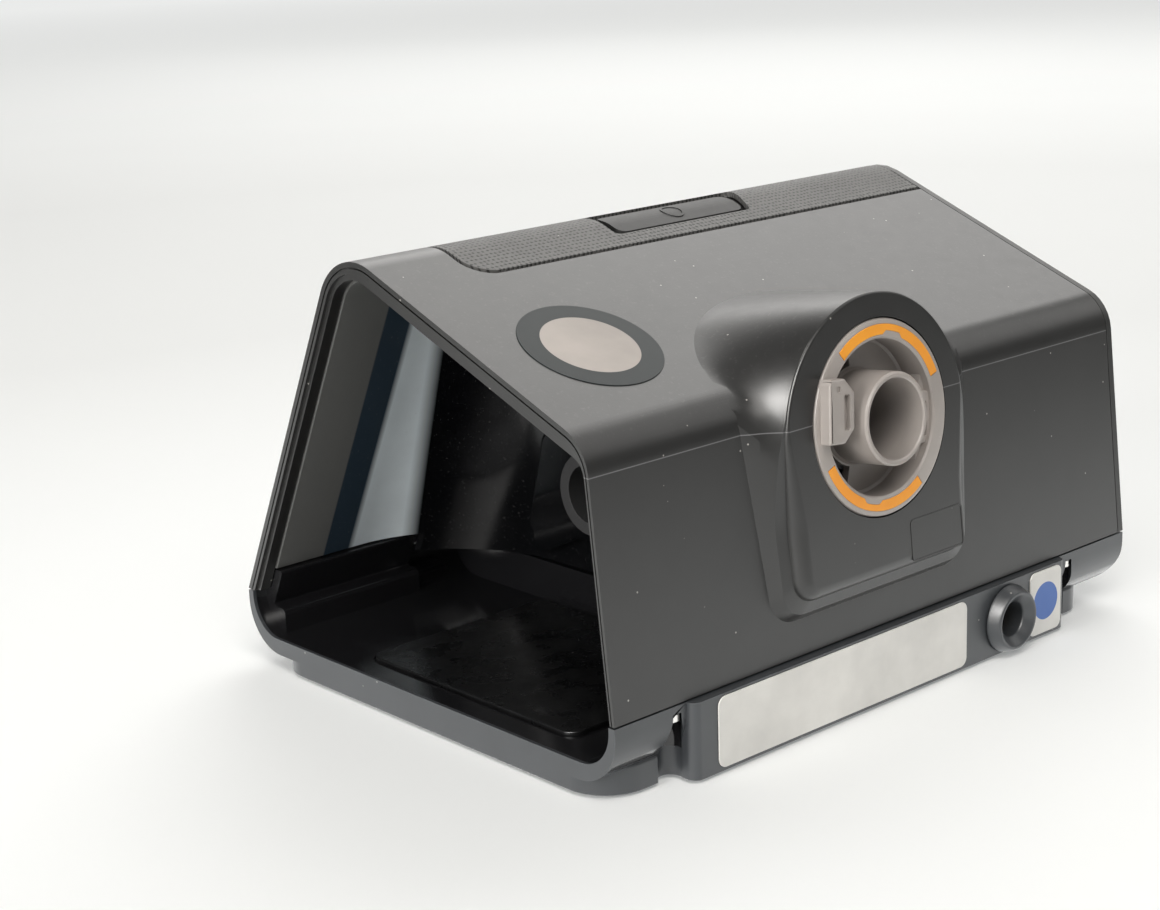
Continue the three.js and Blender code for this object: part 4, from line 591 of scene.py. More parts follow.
def skin(rings, wrapped=False):
    """Quads over a grid: point j of ring i joins its neighbours on the ring and on the next
    ring. Each ring closes on itself. The last ring joins the first where wrapped, otherwise
    each end ring is closed by one face. The faces are turned so that the volume is positive."""
    rings = np.asarray(rings, float)
    count, size = rings.shape[:2]
    points = rings.reshape(-1, 3)
    i = np.arange(count if wrapped else count - 1)[:, None]
    j = np.arange(size)[None, :]
    after, next_ring = (j + 1) % size, (i + 1) % count
    corners = (i * size + j, i * size + after, next_ring * size + after, next_ring * size + j)
    quads = np.stack(np.broadcast_arrays(*corners), -1).reshape(-1, 4)
    faces = quads.tolist()
    fans = [quads[:, [0, 1, 2]], quads[:, [0, 2, 3]]]
    if not wrapped:
        first = np.arange(size)[::-1]
        last = np.arange((count - 1) * size, count * size)
        faces += [first.tolist(), last.tolist()]
        for cap in (first, last):
            fans.append(np.stack([np.full(size - 2, cap[0]), cap[1:-1], cap[2:]], 1))
    a, b, c = points[np.concatenate(fans)].transpose(1, 0, 2)
    if np.einsum("ij,ij->i", a, np.cross(b, c)).sum() < 0:
        faces = [face[::-1] for face in faces]
    return points, faces


def prism(outline, where, low, top, edge=0.0, steps=5):
    """An outline carried from low to top. With an edge radius r the rim near the top is inset
    by r (1 - sin t) at the height top - r (1 - cos t), for t up to a quarter turn."""
    rings = [at(where, outline[:, 0], outline[:, 1], low)]
    if not edge:
        return skin([*rings, at(where, outline[:, 0], outline[:, 1], top)])
    for t in np.linspace(0, math.pi / 2, steps + 1):
        line = shrunk(outline, edge * (1 - math.cos(t)))
        rings.append(at(where, line[:, 0], line[:, 1], top - edge * (1 - math.sin(t))))
    return skin(rings)


def rod(radius, where, low, top, count=48, a=0.0, b=0.0):
    return prism(circle(radius, count, a, b), where, low, top)


def turned(profile, where, count=128):
    """A closed profile of (radius, height) pairs turned about the frame's third axis:
    (r cos t, r sin t, h)."""
    radius, height = np.asarray(profile, float).T
    t = np.linspace(0, 2 * math.pi, count, endpoint=False)[:, None]
    return skin(at(where, radius * np.cos(t), radius * np.sin(t), height + 0 * t), wrapped=True)


def solid_turned(profile, where, count):
    """A profile turned about the frame's third axis: one ring for each of its points, and the
    end rings closed by a face."""
    t = np.linspace(0, 2 * math.pi, count, endpoint=False)
    return skin([at(where, r * np.cos(t), r * np.sin(t), h) for r, h in profile])


def coil(x, y, low, top):
    """A closed wire wound about the vertical through (x, y): its middle is (R cos t, R sin t, z),
    with z climbing evenly with the turn t, and each ring is a circle of the wire's radius."""
    t = np.linspace(0, math.tau * SPRING_TURNS, 36 * SPRING_TURNS + 1)[:, None]
    around = np.linspace(0, math.tau, 12, endpoint=False)
    out = SPRING_RADIUS - SPRING_WIRE + SPRING_WIRE * np.cos(around)
    climb = low + SPRING_WIRE + (top - low - 2 * SPRING_WIRE) * t / t[-1]
    height = climb + SPRING_WIRE * np.sin(around)
    return skin(np.stack([x + out * np.cos(t), y + out * np.sin(t), height], -1))


# Blender pieces


def linked(name, shape):
    points, faces = shape
    mesh = bpy.data.meshes.new(name)
    mesh.from_pydata((points * MM).tolist(), [], faces)
    mesh.update()
    obj = bpy.data.objects.new(name, mesh)
    bpy.context.scene.collection.objects.link(obj)
    return obj


def worked(name, shape, *steps):
    """A shape after a row of joins, cuts and trims, each with one further closed shape."""
    obj = linked(name, shape)
    tools = []
    for operation, other in steps:
        tool = linked("tool", other)
        tools.append(tool)
        modifier = obj.modifiers.new("work", "BOOLEAN")
        modifier.operation = operation
        modifier.object = tool
        modifier.solver = "MANIFOLD"
    bpy.context.view_layer.update()
    graph = bpy.context.evaluated_depsgraph_get()
    made = bpy.data.meshes.new_from_object(obj.evaluated_get(graph))
    obj.modifiers.clear()
    spare = obj.data
    obj.data = made
    bpy.data.meshes.remove(spare)
    made.name = name
    for tool in tools:
        mesh = tool.data
        bpy.data.objects.remove(tool)
        bpy.data.meshes.remove(mesh)
    if len(made.polygons) == 0:
        raise RuntimeError(f"nothing is left of {name}")
    return obj


def join(shape):
    return ("UNION", shape)


def cut(shape):
    return ("DIFFERENCE", shape)


def trim(shape):
    return ("INTERSECT", shape)


def as_shape(obj):
    """The closed shape of an object that was only made to be worked with, in millimetres."""
    mesh = obj.data
    points = np.empty(len(mesh.vertices) * 3, np.float32)
    mesh.vertices.foreach_get("co", points)
    faces = [list(face.vertices) for face in mesh.polygons]
    bpy.data.objects.remove(obj)
    bpy.data.meshes.remove(mesh)
    return points.reshape(-1, 3).astype(float) / MM, faces


def round_edges(obj, edge, angle, segments, miter="MITER_SHARP"):
    """A live bevel of the given radius, in metres, on edges sharper than an angle in degrees."""
    bevel = obj.modifiers.new("rounded edges", "BEVEL")
    bevel.width = edge
    bevel.segments = segments
    bevel.limit_method = "ANGLE"
    bevel.angle_limit = math.radians(angle)
    bevel.miter_outer = miter
    bevel.harden_normals = True


def soften(obj, edge, angle):
    """Rounded cut edges and even shading over the flat and curved faces between them."""
    obj.data.shade_smooth()
    obj.data.set_sharp_from_angle(angle=math.radians(angle))
    if edge:
        round_edges(obj, edge, angle, 3, "MITER_ARC")
    even = obj.modifiers.new("even shading", "WEIGHTED_NORMAL")
    even.keep_sharp = True


def dress(obj, material, body, slot, *nodes, edge=0.0, angle=30.0):
    soften(obj, edge, angle)
    obj.data.materials.clear()
    obj.data.materials.append(material)
    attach(obj, body)
    if nodes:
        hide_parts(*nodes)
    return obj


# Finishes: node trees in the object's own coordinates


class Finish:
    """A material under way, with short calls for the nodes that the finishes share."""

    def __init__(self, name, roughness=0.5, metallic=0.0, specular=0.5):
        self.material = bpy.data.materials.new(name)
        self.material.use_nodes = True
        self.nodes = self.material.node_tree.nodes
        self.links = self.material.node_tree.links
        self.shader = self.nodes["Principled BSDF"]
        self.set("Roughness", roughness)
        self.set("Metallic", metallic)
        self.set("Specular IOR Level", specular)
        self.place = self.nodes.new("ShaderNodeTexCoord").outputs["Object"]

    def set(self, socket, value):
        if isinstance(value, bpy.types.NodeSocket):
            self.links.new(value, self.shader.inputs[socket])
        else:
            self.shader.inputs[socket].default_value = value

    def feed(self, socket, value):
        if isinstance(value, bpy.types.NodeSocket):
            self.links.new(value, socket)
        else:
            socket.default_value = value

    def math(self, operation, a, b=0.0):
        node = self.nodes.new("ShaderNodeMath")
        node.operation = operation
        self.feed(node.inputs[0], a)
        self.feed(node.inputs[1], b)
        return node.outputs[0]

    def noise(self, per_metre, detail=3.0, roughness=0.55):
        node = self.nodes.new("ShaderNodeTexNoise")
        node.inputs["Scale"].default_value = per_metre
        node.inputs["Detail"].default_value = detail
        node.inputs["Roughness"].default_value = roughness
        self.links.new(self.place, node.inputs["Vector"])
        return node.outputs["Fac"]

    def cells(self, per_metre, feature="F1", place=None):
        """Scattered cells, or rows of almost even ones over a place of two coordinates."""
        node = self.nodes.new("ShaderNodeTexVoronoi")
        node.feature = feature
        if place:
            node.voronoi_dimensions = "2D"
            node.inputs["Randomness"].default_value = 0.25
        node.inputs["Scale"].default_value = per_metre
        self.links.new(place or self.place, node.inputs["Vector"])
        return node.outputs["Distance"]

    def spread(self, value, low, high, to_low=0.0, to_high=1.0):
        node = self.nodes.new("ShaderNodeMapRange")
        node.inputs["From Min"].default_value = low
        node.inputs["From Max"].default_value = high
        node.inputs["To Min"].default_value = to_low
        node.inputs["To Max"].default_value = to_high
        self.links.new(value, node.inputs["Value"])
        return node.outputs["Result"]

    def blend(self, share, first, second):
        node = self.nodes.new("ShaderNodeMix")
        node.data_type = "RGBA"
        self.feed(node.inputs[0], share)
        for socket, value in ((node.inputs[6], first), (node.inputs[7], second)):
            if not isinstance(value, bpy.types.NodeSocket):
                value = (*value[:3], 1.0)
            self.feed(socket, value)
        return node.outputs[2]

    def axis(self, name):
        node = self.nodes.new("ShaderNodeSeparateXYZ")
        self.links.new(self.place, node.inputs[0])
        return node.outputs[name]

    def facing(self, name):
        """How far the surface faces along an axis."""
        node = self.nodes.new("ShaderNodeSeparateXYZ")
        self.links.new(self.nodes.new("ShaderNodeNewGeometry").outputs["Normal"], node.inputs[0])
        return node.outputs[name]

    def bump(self, height, distance, strength=1.0):
        node = self.nodes.new("ShaderNodeBump")
        node.inputs["Strength"].default_value = strength
        node.inputs["Distance"].default_value = distance
        self.links.new(height, node.inputs["Height"])
        previous = self.shader.inputs["Normal"].links
        if previous:
            self.links.new(previous[0].from_socket, node.inputs["Normal"])
        self.links.new(node.outputs["Normal"], self.shader.inputs["Normal"])

    def near(self, value, middle, half):
        """1 where the value lies within half of the middle, with a soft edge a quarter as wide."""
        away = self.math("ABSOLUTE", self.math("SUBTRACT", value, middle))
        return self.spread(away, half, half * 1.25, 1.0, 0.0)

    def distance(self, x, z, y=None):
        """Distance in the object from a point, over two or three of its axes."""
        total = 0.0
        for name, value in (("X", x), ("Y", y), ("Z", z)):
            if value is not None:
                apart = self.math("SUBTRACT", self.axis(name), value)
                total = self.math("ADD", self.math("MULTIPLY", apart, apart), total)
        return self.math("SQRT", total)

    def tone(self):
        return self.shader.inputs["Base Color"].links[0].from_socket

    def times(self, value, *others):
        """The product of several values."""
        for other in others:
            value = self.math("MULTIPLY", value, other)
        return value

    def past(self, value, place, fade):
        """1 where a value in metres has passed a place and 0 before it, with a soft edge. Place
        and fade are in millimetres, and a negative fade turns the two sides round."""
        return self.spread(value, (place - fade / 2) * MM, (place + fade / 2) * MM)


def scaled(colour, factor):
    return tuple(min(1.0, c * factor) for c in colour[:3])


def moulded(name, colour, roughness, grain=GRAIN, grain_scale=2600, dust=0.06, edge_wear_and_highlight=0.0):
    """Moulded plastic: uneven tone, fine spark-eroded grain, dust on what faces up and, where
    asked, paler edges: partly worn by rubbing and partly a painted highlight along them."""
    f = Finish(name, roughness)
    tone = f.blend(f.spread(f.noise(45, 4), 0.3, 0.7), scaled(colour, 0.88), scaled(colour, 1.12))
    # Paler edges, partly worn by rubbing and partly a painted highlight along them
    if edge_wear_and_highlight:
        bevel = f.nodes.new("ShaderNodeBevel")
        bevel.samples = 4
        bevel.inputs["Radius"].default_value = WORN_AND_HIGHLIT_EDGE
        dot = f.nodes.new("ShaderNodeVectorMath")
        dot.operation = "DOT_PRODUCT"
        f.links.new(bevel.outputs[0], dot.inputs[0])
        f.links.new(f.nodes.new("ShaderNodeNewGeometry").outputs["Normal"], dot.inputs[1])
        rubbed_and_highlit = f.spread(dot.outputs["Value"], 0.80, 0.97, 1.0, 0.0)
        patchy = f.spread(f.noise(170, 2), 0.4, 0.65)
        tone = f.blend(f.times(rubbed_and_highlit, patchy, edge_wear_and_highlight), tone, scaled(colour, 3.2))
    settled = f.times(f.spread(f.facing("Z"), 0.4, 1.0), f.spread(f.noise(900, 2), 0.60, 0.72))
    tone = f.blend(f.times(settled, dust), tone, (0.32, 0.31, 0.30))
    if dust:
        spots = f.times(f.spread(f.cells(190), 0.055, 0.035), f.spread(f.noise(70, 1), 0.50, 0.53))
        tone = f.blend(f.times(spots, 0.7), tone, (0.50, 0.48, 0.45))
    f.set("Base Color", tone)
    f.set("Roughness", f.spread(f.noise(260, 3), 0.25, 0.75, roughness - 0.02, roughness + 0.02))
    if grain:
        f.bump(f.noise(grain_scale, 2), grain)
    return f


def case_finish(colour):
    """Case plastic with the fine mould line round the back at the shoulder, painted pale as its
    highlight, and faint scratches that run slantwise."""
    f = moulded("case plastic", colour, 0.33, grain=CASE_GRAIN, edge_wear_and_highlight=0.5)
    # The real mould line, painted pale as a highlight on the steep faces behind
    behind = f.past(f.axis("Y"), MOULD_LINE_FRONT, MOULD_LINE_FADE)
    steep = f.spread(f.math("ABSOLUTE", f.facing("Z")), 0.75, 0.6)
    line = f.times(f.near(f.axis("Z"), MOULD_LINE * MM, MOULD_LINE_HALF * MM), behind, steep)
    f.set("Base Color", f.blend(f.times(line, 0.8), f.tone(), (0.16, 0.16, 0.165)))
    scratch = f.nodes.new("ShaderNodeTexNoise")
    stretch = f.nodes.new("ShaderNodeMapping")
    stretch.inputs["Rotation"].default_value = (0, 0, 0.5)
    stretch.inputs["Scale"].default_value = (18, 700, 18)
    f.links.new(f.place, stretch.inputs[0])
    f.links.new(stretch.outputs[0], scratch.inputs["Vector"])
    scratch.inputs["Scale"].default_value = 1.0
    patches = f.spread(f.noise(14, 1), 0.55, 0.6)
    marks = f.times(f.spread(scratch.outputs["Fac"], 0.70, 0.74), patches)
    rough = f.shader.inputs["Roughness"].links[0].from_socket
    f.set("Roughness", f.math("ADD", rough, f.times(marks, 0.2)))
    return f.material


def base_finish(colour):
    """Base plastic, polished and nearly black inside the bay."""
    f = moulded("base plastic", colour, 0.38, grain=FINE_GRAIN, edge_wear_and_highlight=0.5)
    y = f.axis("Y")
    front, rear = POLISH_Y
    inside = f.times(
        f.past(y, rear, -POLISH_FADE),
        f.past(y, front, POLISH_FADE),
        f.past(f.axis("Z"), POLISH_LOW, POLISH_FADE),
        f.past(f.axis("X"), POLISH_END, -POLISH_END_FADE),
    )
    smear = f.spread(f.noise(60, 4), 0.35, 0.7, 0.10, 0.24)
    f.set("Base Color", f.blend(inside, f.tone(), (0.009, 0.009, 0.010)))
    f.set("Roughness", f.blend(inside, (0.38, 0.38, 0.38), smear))
    return f.material


def strip_finish(colour):
    """Top panel: close rows of small pits, over X and over a Y + b Z, which grows by one for each
    metre up the roof and down the front slope. Each pit is bumped in and painted darker, as painted
    shade."""
    f = moulded("grained panel", colour, 0.52, grain=0.0, dust=0.10)
    for_y, for_z = np.linalg.solve(np.array([ROOF, -SLOPE]), np.ones(2))
    down = f.math("ADD", f.times(f.axis("Y"), for_y), f.times(f.axis("Z"), for_z))
    over = f.nodes.new("ShaderNodeCombineXYZ")
    f.links.new(f.axis("X"), over.inputs[0])
    f.links.new(down, over.inputs[1])
    pit = f.spread(f.cells(680, place=over.outputs[0]), 0.17, 0.33, 1.0, 0.0)
    # Painted shade: each pit is painted darker as well as bumped in
    f.set("Base Color", f.blend(f.times(pit, 0.85), f.tone(), scaled(colour, 0.12)))
    f.bump(f.math("SUBTRACT", 1.0, pit), PIT_DEPTH)
    f.bump(f.noise(2600, 2), GRAIN)
    return f.material


def lining_finish(colour):
    """Polished bay lining: its front wall is dull and grey near the mouth. It carries a painted
    reflection: a bluish strip, then a pale band where the wall starts to turn inwards, from a line
    x = a + b (z - c)."""
    f = Finish("bay lining", 0.09, specular=0.3)
    lean = f.math("SUBTRACT", f.axis("Y"), f.times(f.axis("Z"), FRONT_LEAN))
    front = f.past(lean, FRONT_LINING, -FRONT_LINING_FADE)
    dull = f.times(f.past(f.axis("X"), DULL_FROM, DULL_FADE), front)
    # Painted reflection: a pale band on the front wall where it starts to turn inwards
    above = f.math("SUBTRACT", f.axis("Z"), REFLECTION_BAND_HEIGHT * MM)
    inner = f.math("ADD", f.times(above, REFLECTION_BAND_LEAN), REFLECTION_BAND_INNER * MM)
    begun = f.spread(f.math("SUBTRACT", f.axis("X"), inner), 0.0, REFLECTION_BAND_FADE * MM)
    painted_reflection_band = f.times(begun, f.past(f.axis("X"), REFLECTION_BAND_OUTER, -REFLECTION_BAND_OUTER_FADE), front)
    smear = f.spread(f.noise(60, 4), 0.35, 0.7, 0.06, 0.17)
    f.set("Roughness", f.math("ADD", smear, f.times(dull, 0.35)))
    tone = f.blend(f.spread(f.noise(40, 3), 0.3, 0.7), scaled(colour, 0.8), scaled(colour, 1.25))
    # Painted reflection: a bluish strip on the glossy front wall, beside the pale band
    painted_reflection_strip = f.times(front, f.past(f.axis("X"), REFLECTION_STRIP_FROM, REFLECTION_STRIP_FADE))
    tone = f.blend(painted_reflection_strip, tone, (0.028, 0.044, 0.062))
    tone = f.blend(dull, tone, (0.13, 0.132, 0.128))
    patchy = f.spread(f.noise(50, 3), 0.2, 0.8, 0.85, 1.0)
    tone = f.blend(f.times(painted_reflection_band, patchy), tone, (0.80, 0.88, 0.92))
    specks = f.times(f.spread(f.noise(1300, 2), 0.66, 0.76), 0.12)
    f.set("Base Color", f.blend(specks, tone, (0.30, 0.29, 0.28)))
    f.bump(f.noise(35, 2), LINING_WAVE, 0.25)
    return f.material


def plate_finish(colour):
    """Heater plate: dark anodised sheet under dust and dried water marks."""
    f = Finish("heater plate", 0.22, metallic=0.6)
    tone = f.blend(f.spread(f.noise(70, 5), 0.35, 0.7), scaled(colour, 0.8), scaled(colour, 1.6))
    spots = f.times(f.spread(f.cells(130), 0.10, 0.04), f.spread(f.noise(50, 2), 0.5, 0.6))
    dust = f.times(f.spread(f.noise(1500, 3), 0.55, 0.75), 0.03)
    tone = f.blend(f.times(spots, 0.08), tone, (0.28, 0.27, 0.25))
    f.set("Base Color", f.blend(dust, tone, (0.30, 0.29, 0.27)))
    f.set("Roughness", f.spread(f.noise(160, 4), 0.3, 0.7, 0.18, 0.42))
    f.bump(f.noise(1500, 2), FINE_GRAIN)
    return f.material


def paper(name, colour, roughness):
    """Smooth label stock, bare of words."""
    return moulded(name, colour, roughness, grain=PAPER_GRAIN, grain_scale=1500, dust=0.0)


def notice_finish(colour, disc):
    """Small white notice with one plain disc."""
    f = paper("small notice", colour, 0.35)
    x, z, radius = NOTICE_DISC
    within = f.past(f.distance(x * MM, z * MM), radius, -DISC_FADE)
    f.set("Base Color", f.blend(within, f.tone(), disc))
    return f.material


def round_finish():
    """Round sticker: dark outer ring and a pale inner disc."""
    f = paper("round sticker", (0.43, 0.39, 0.36), 0.38)
    x, y, z = at(round_place(), 0.0, 0.0, 0.0) * MM
    ring = f.past(f.distance(x, z, y), ROUND_DISC, DISC_FADE)
    f.set("Base Color", f.blend(ring, f.tone(), (0.030, 0.036, 0.037)))
    f.set("Specular IOR Level", 0.10)
    return f.material


def connector_finish(colour):
    """Connector plastic with painted shade: darker the deeper it lies behind the connector's face.
    """
    f = moulded("connector plastic", colour, 0.36, grain=RING_GRAIN, dust=0.05)
    outward = f.math("ADD", f.times(f.axis("Y"), OUTWARD[1]), f.times(f.axis("Z"), OUTWARD[2]))
    level = (OUTLET_BACK * OUTWARD[1] + OUTLET_HEIGHT * OUTWARD[2]) * MM
    near, far = SHADED_DEPTHS
    # Painted shade, deepening from the connector's face into the annulus and bore
    deep = f.spread(f.math("SUBTRACT", outward, level), -near * MM, -far * MM)
    f.set("Base Color", f.blend(f.times(deep, 0.5), f.tone(), scaled(colour, 0.35)))
    return f.material


def metal_finish(name, colour, roughness, brushed=900):
    f = Finish(name, roughness, metallic=1.0)
    tone = f.blend(f.spread(f.noise(120, 4), 0.3, 0.7), scaled(colour, 0.8), scaled(colour, 1.1))
    f.set("Base Color", tone)
    f.set("Roughness", f.spread(f.noise(brushed, 2), 0.3, 0.7, roughness - 0.06, roughness + 0.08))
    f.bump(f.noise(brushed, 2), FINE_GRAIN)
    return f.material


def glass_finish(name, colour, roughness):
    """Polished black front, with faint wiping marks in its gloss."""
    f = Finish(name, roughness)
    f.set("Base Color", f.blend(f.noise(30, 2), scaled(colour, 0.9), scaled(colour, 1.1)))
    f.set("Roughness", f.spread(f.noise(90, 4), 0.35, 0.7, roughness, roughness + 0.09))
    f.bump(f.noise(30, 2), GLASS_WAVE, 0.1)
    return f.material


def board_finish(name, colour):
    """Circuit board with tracks between its cells."""
    f = moulded(name, colour, 0.45, dust=0.0)
    tracks = f.spread(f.cells(260, "DISTANCE_TO_EDGE"), 0.10, 0.07)
    f.set("Base Color", f.blend(f.times(tracks, 0.5), f.tone(), scaled(colour, 2.2)))
    f.bump(tracks, TRACK_HEIGHT)
    return f.material


# Operators, one for each piece or group of like pieces


class MachineOperator:
    bl_options = {"REGISTER", "UNDO"}


def hood_outline(sizes, inset):
    """The hood's outline in (x, z): straight leaning sides on two rounded lower corners, under
    the half ellipse x = w cos t, z = s + h sin t."""
    half, half_low, low, corner, spring, top = sizes
    half, half_low, low, top = half - inset, half_low - inset, low + inset, top - inset
    t = np.linspace(0, math.pi / 2, 11)
    foot = np.stack([half_low - corner + corner * np.sin(t), low + corner - corner * np.cos(t)], 1)
    share = np.linspace(0, 1, 13)[1:, None]
    side = foot[-1] + share * (np.array([half, spring]) - foot[-1])
    t = np.linspace(0, math.pi / 2, 41)[1:-1]
    arch = np.stack([half * np.cos(t), spring + (top - spring) * np.sin(t)], 1)
    right = np.concatenate([foot, side, arch])
    left = right[::-1] * [-1, 1]
    whole = np.concatenate([[[0, low]], right, [[0, top]], left])
    return whole + [HOOD_X, 0]


def hood_body(inset):
    """Rings from the leaning flat face to the foot on the case: at a share s of the way the
    outline is face + (foot - face) s^p, with p from 1.1 at the sides to 1 at the crest, and the
    depth runs evenly from the face, y = back - (z - middle) tan tilt, to the case's own skin.
    The outer body's face has an edge that is rounder towards its foot."""
    face, foot = hood_outline(HOOD_FACE, inset), hood_outline(HOOD_FOOT, inset)
    section = even_section(inset, SEAM - OVER)
    rear = np.concatenate([section[:1], section[section[:, 0] > HOOD_REACH][1:]])
    climb = rear[np.argsort(rear[:, 1])]
    back = np.interp(foot[:, 1], climb[:, 1], climb[:, 0])
    spring, top = HOOD_FACE[4:]
    rise = np.clip((face[:, 1] - spring) / (top - spring), 0, 1)
    power = FLARE + (1 - FLARE) * rise
    lean = math.tan(OUTLET_TILT)
    start = HOOD_BACK - inset - (face[:, 1] - OUTLET_HEIGHT) * lean
    shares = np.linspace(0, 1, 26)[:, None] * np.ones(len(face))
    rings = []
    if not inset:
        least, most = HOOD_EDGE
        high, low = HOOD_EDGE_HEIGHTS
        soft = least + (most - least) * np.clip((high - face[:, 1]) / (high - low), 0, 1)
        for t in np.linspace(0, math.pi / 2, 10)[:-1]:
            line = shrunk(face, soft * (1 - math.sin(t)))
            depth = HOOD_BACK - (line[:, 1] - OUTLET_HEIGHT) * lean - soft * (1 - math.cos(t))
            rings.append(np.column_stack([line[:, 0], depth, line[:, 1]]))
        first = np.minimum(EDGE_DEPTH_SHARE, soft / (start - back))
        shares = first + (1 - first) * shares
    spread = shares**power
    x = face[:, 0] + (foot[:, 0] - face[:, 0]) * spread
    z = face[:, 1] + (foot[:, 1] - face[:, 1]) * spread
    y = start + (back - start) * shares
    rings += list(np.stack([x, y, z], -1))
    rings.append(rings[-1] + np.array([0, -HOOD_ROOT, -HOOD_ROOT]))
    return skin(rings)


def strip_plan(gap):
    front, rear = STRIP
    left = CASE_END - LONG_OVER
    corners = [
        (left, front - gap, 0),
        (STRIP_END + gap, front - gap, 0),
        (STRIP_END + gap, rear + gap, STRIP_CORNER),
        (left, rear + gap, 0),
    ]
    return rounded(corners, 16)


def roof_layer(outer, inner, plan):
    """A layer of the roof between two insets of the case's section, within a plan outline."""
    whole = prism(even_section(outer), SIDE, CASE_LEFT - OVER, CASE_RIGHT)
    core = prism(even_section(inner, SEAM - OVER), SIDE, CASE_LEFT - LONG_OVER, CASE_RIGHT + OVER)
    return as_shape(worked("layer", whole, cut(core), trim(prism(plan, PLAN, SHOULDER[1], HIGH))))


def rim_layer(outer, inner, depth):
    """A groove in the rim of the bay's mouth, between two insets of the case's section."""
    end = CASE_RIGHT + OVER
    whole = prism(side_section(*outer, SEAM - OVER), SIDE, CASE_RIGHT - depth, end)
    under = SEAM - OVER - OVER
    core = prism(side_section(*inner, under), SIDE, CASE_RIGHT - OVER - OVER, end + OVER)
    return as_shape(worked("layer", whole, cut(core)))


class MACHINE_OT_case(MachineOperator, bpy.types.Operator):
    """The upper case: its side section carried along x, hollowed, joined to the outlet hood and
    cut for the outlet, the top panel, the button and the display panel"""

    bl_idname = "machine.case"
    bl_label = "Upper case"

    def execute(self, context):
        s = context.scene.machine_case
        shell = prism(even_section(0), SIDE, CASE_END, CASE_RIGHT)
        inside = side_section(CASE_WALL, ROOF_WALL, CASE_WALL, SEAM - OVER)
        mouth = side_section(*RIM, SEAM - OVER)
        lip = side_section(*LIP[2], SEAM - OVER)
        hole = FLANGE_RADIUS + GAP
        deep, shallow = COLLAR_DEPTHS
        button = rectangle(*grown(BUTTON, LOOSE_GAP), BUTTON_CORNER + LOOSE_GAP)
        facade = rectangle(*grown(FACADE, GAP), FACADE_CORNER)
        raised = rectangle(*PLAQUE, PLAQUE_CORNER)
        obj = worked(
            "case_shell",
            shell,
            join(hood_body(0)),
            cut(prism(inside, SIDE, CASE_END - OVER, CASE_RIGHT - RIM_DEPTH)),
            cut(hood_body(HOOD_WALL)),
            cut(prism(mouth, SIDE, CASE_RIGHT - RIM_DEPTH - OVER, CASE_RIGHT + OVER)),
            join(rod(hole + COLLAR_WALL, OUTLET, -deep, -shallow, 128)),
            cut(rod(hole, OUTLET, -FLANGE_DEPTH - GAP, LONG_OVER, 128)),
            cut(rod(SLEEVE_RADIUS + GAP, OUTLET, -SLEEVE_ROOM, 0.0, 128)),
            cut(roof_layer(-OVER, STRIP_THICKNESS + GAP, strip_plan(STRIP_GROOVE))),
            cut(prism(button, PLAN, BUTTON_ROOM, HIGH)),
            cut(prism(facade, FRONT, -FACADE_THICKNESS - GAP, FACADE_OVER)),
            join(prism(raised, HOOD_FRONT, -PLAQUE_ROOT, PLAQUE_PROUD)),
            cut(prism(shrunk(raised, PLAQUE_LINE), HOOD_FRONT, 0.0, OVER)),
            cut(rim_layer(LIP[0], LIP[1], LIP_GROOVE)),
            cut(prism(lip, SIDE, CASE_RIGHT - LIP_STEP, CASE_RIGHT + OVER)),
        )
        finish = case_finish(s.case_colour)
        dress(obj, finish, "housing", "case_grey", "upper_case", edge=s.edge, angle=16.0)
        return {"FINISHED"}


class MACHINE_OT_top_panel(MachineOperator, bpy.types.Operator):
    """The textured top panel: a layer of the case's own skin within its plan, less the recess
    for the button"""

    bl_idname = "machine.top_panel"
    bl_label = "Top panel"

    def execute(self, context):
        s = context.scene.machine_case
        front, rear = BUTTON[2] - RECESS_MARGIN, BUTTON[3] + RECESS_MARGIN
        left, right, rear_left = RECESS_X
        corners = ((left, front), (right, front), (right, rear), (rear_left, rear))
        recess = rounded([(*corner, RECESS_MARGIN) for corner in corners])
        within = rectangle(CASE_END, CASE_RIGHT, *STRIP_WITHIN)
        obj = worked(
            "top_skin",
            roof_layer(0, STRIP_THICKNESS, strip_plan(0)),
            trim(prism(within, PLAN, SEAM, HIGH)),
            cut(prism(recess, PLAN, SEAM, HIGH)),
        )
        finish = strip_finish(s.panel_colour)
        dress(obj, finish, "housing", "panel_grain", "top_panel", edge=FINE_EDGE)
        return {"FINISHED"}


class MACHINE_OT_start_button(MachineOperator, bpy.types.Operator):
    """The start and stop button: the case's section sunk a little, trimmed to the button's plan,
    with a raised ring to find it by touch"""

    bl_idname = "machine.start_button"
    bl_label = "Start and stop button"

    def execute(self, context):
        s = context.scene.machine_case
        x, y = BUTTON_MARK
        outer, inner = MARK_RADII
        body = prism(even_section(BUTTON_SUNK), SIDE, CASE_LEFT, CASE_RIGHT)
        raised = prism(even_section(BUTTON_SUNK - MARK_PROUD), SIDE, CASE_LEFT, CASE_RIGHT)
        mark = worked(
            "mark",
            raised,
            trim(rod(outer, PLAN, BUTTON_UNDER + OVER, HIGH, 64, x, y)),
            cut(rod(inner, PLAN, BUTTON_UNDER, HIGH, 64, x, y)),
        )
        obj = worked(
            "start_key",
            body,
            trim(prism(rectangle(*BUTTON, BUTTON_CORNER), PLAN, BUTTON_UNDER, HIGH)),
            join(as_shape(mark)),
        )
        f = moulded("button plastic", s.case_colour, 0.5, grain=FINE_GRAIN, dust=0.04)
        f.set("Specular IOR Level", 0.35)
        dress(obj, f.material, "start_button", "button_grey", "start_stop_button", edge=SOFT_EDGE)
        return {"FINISHED"}


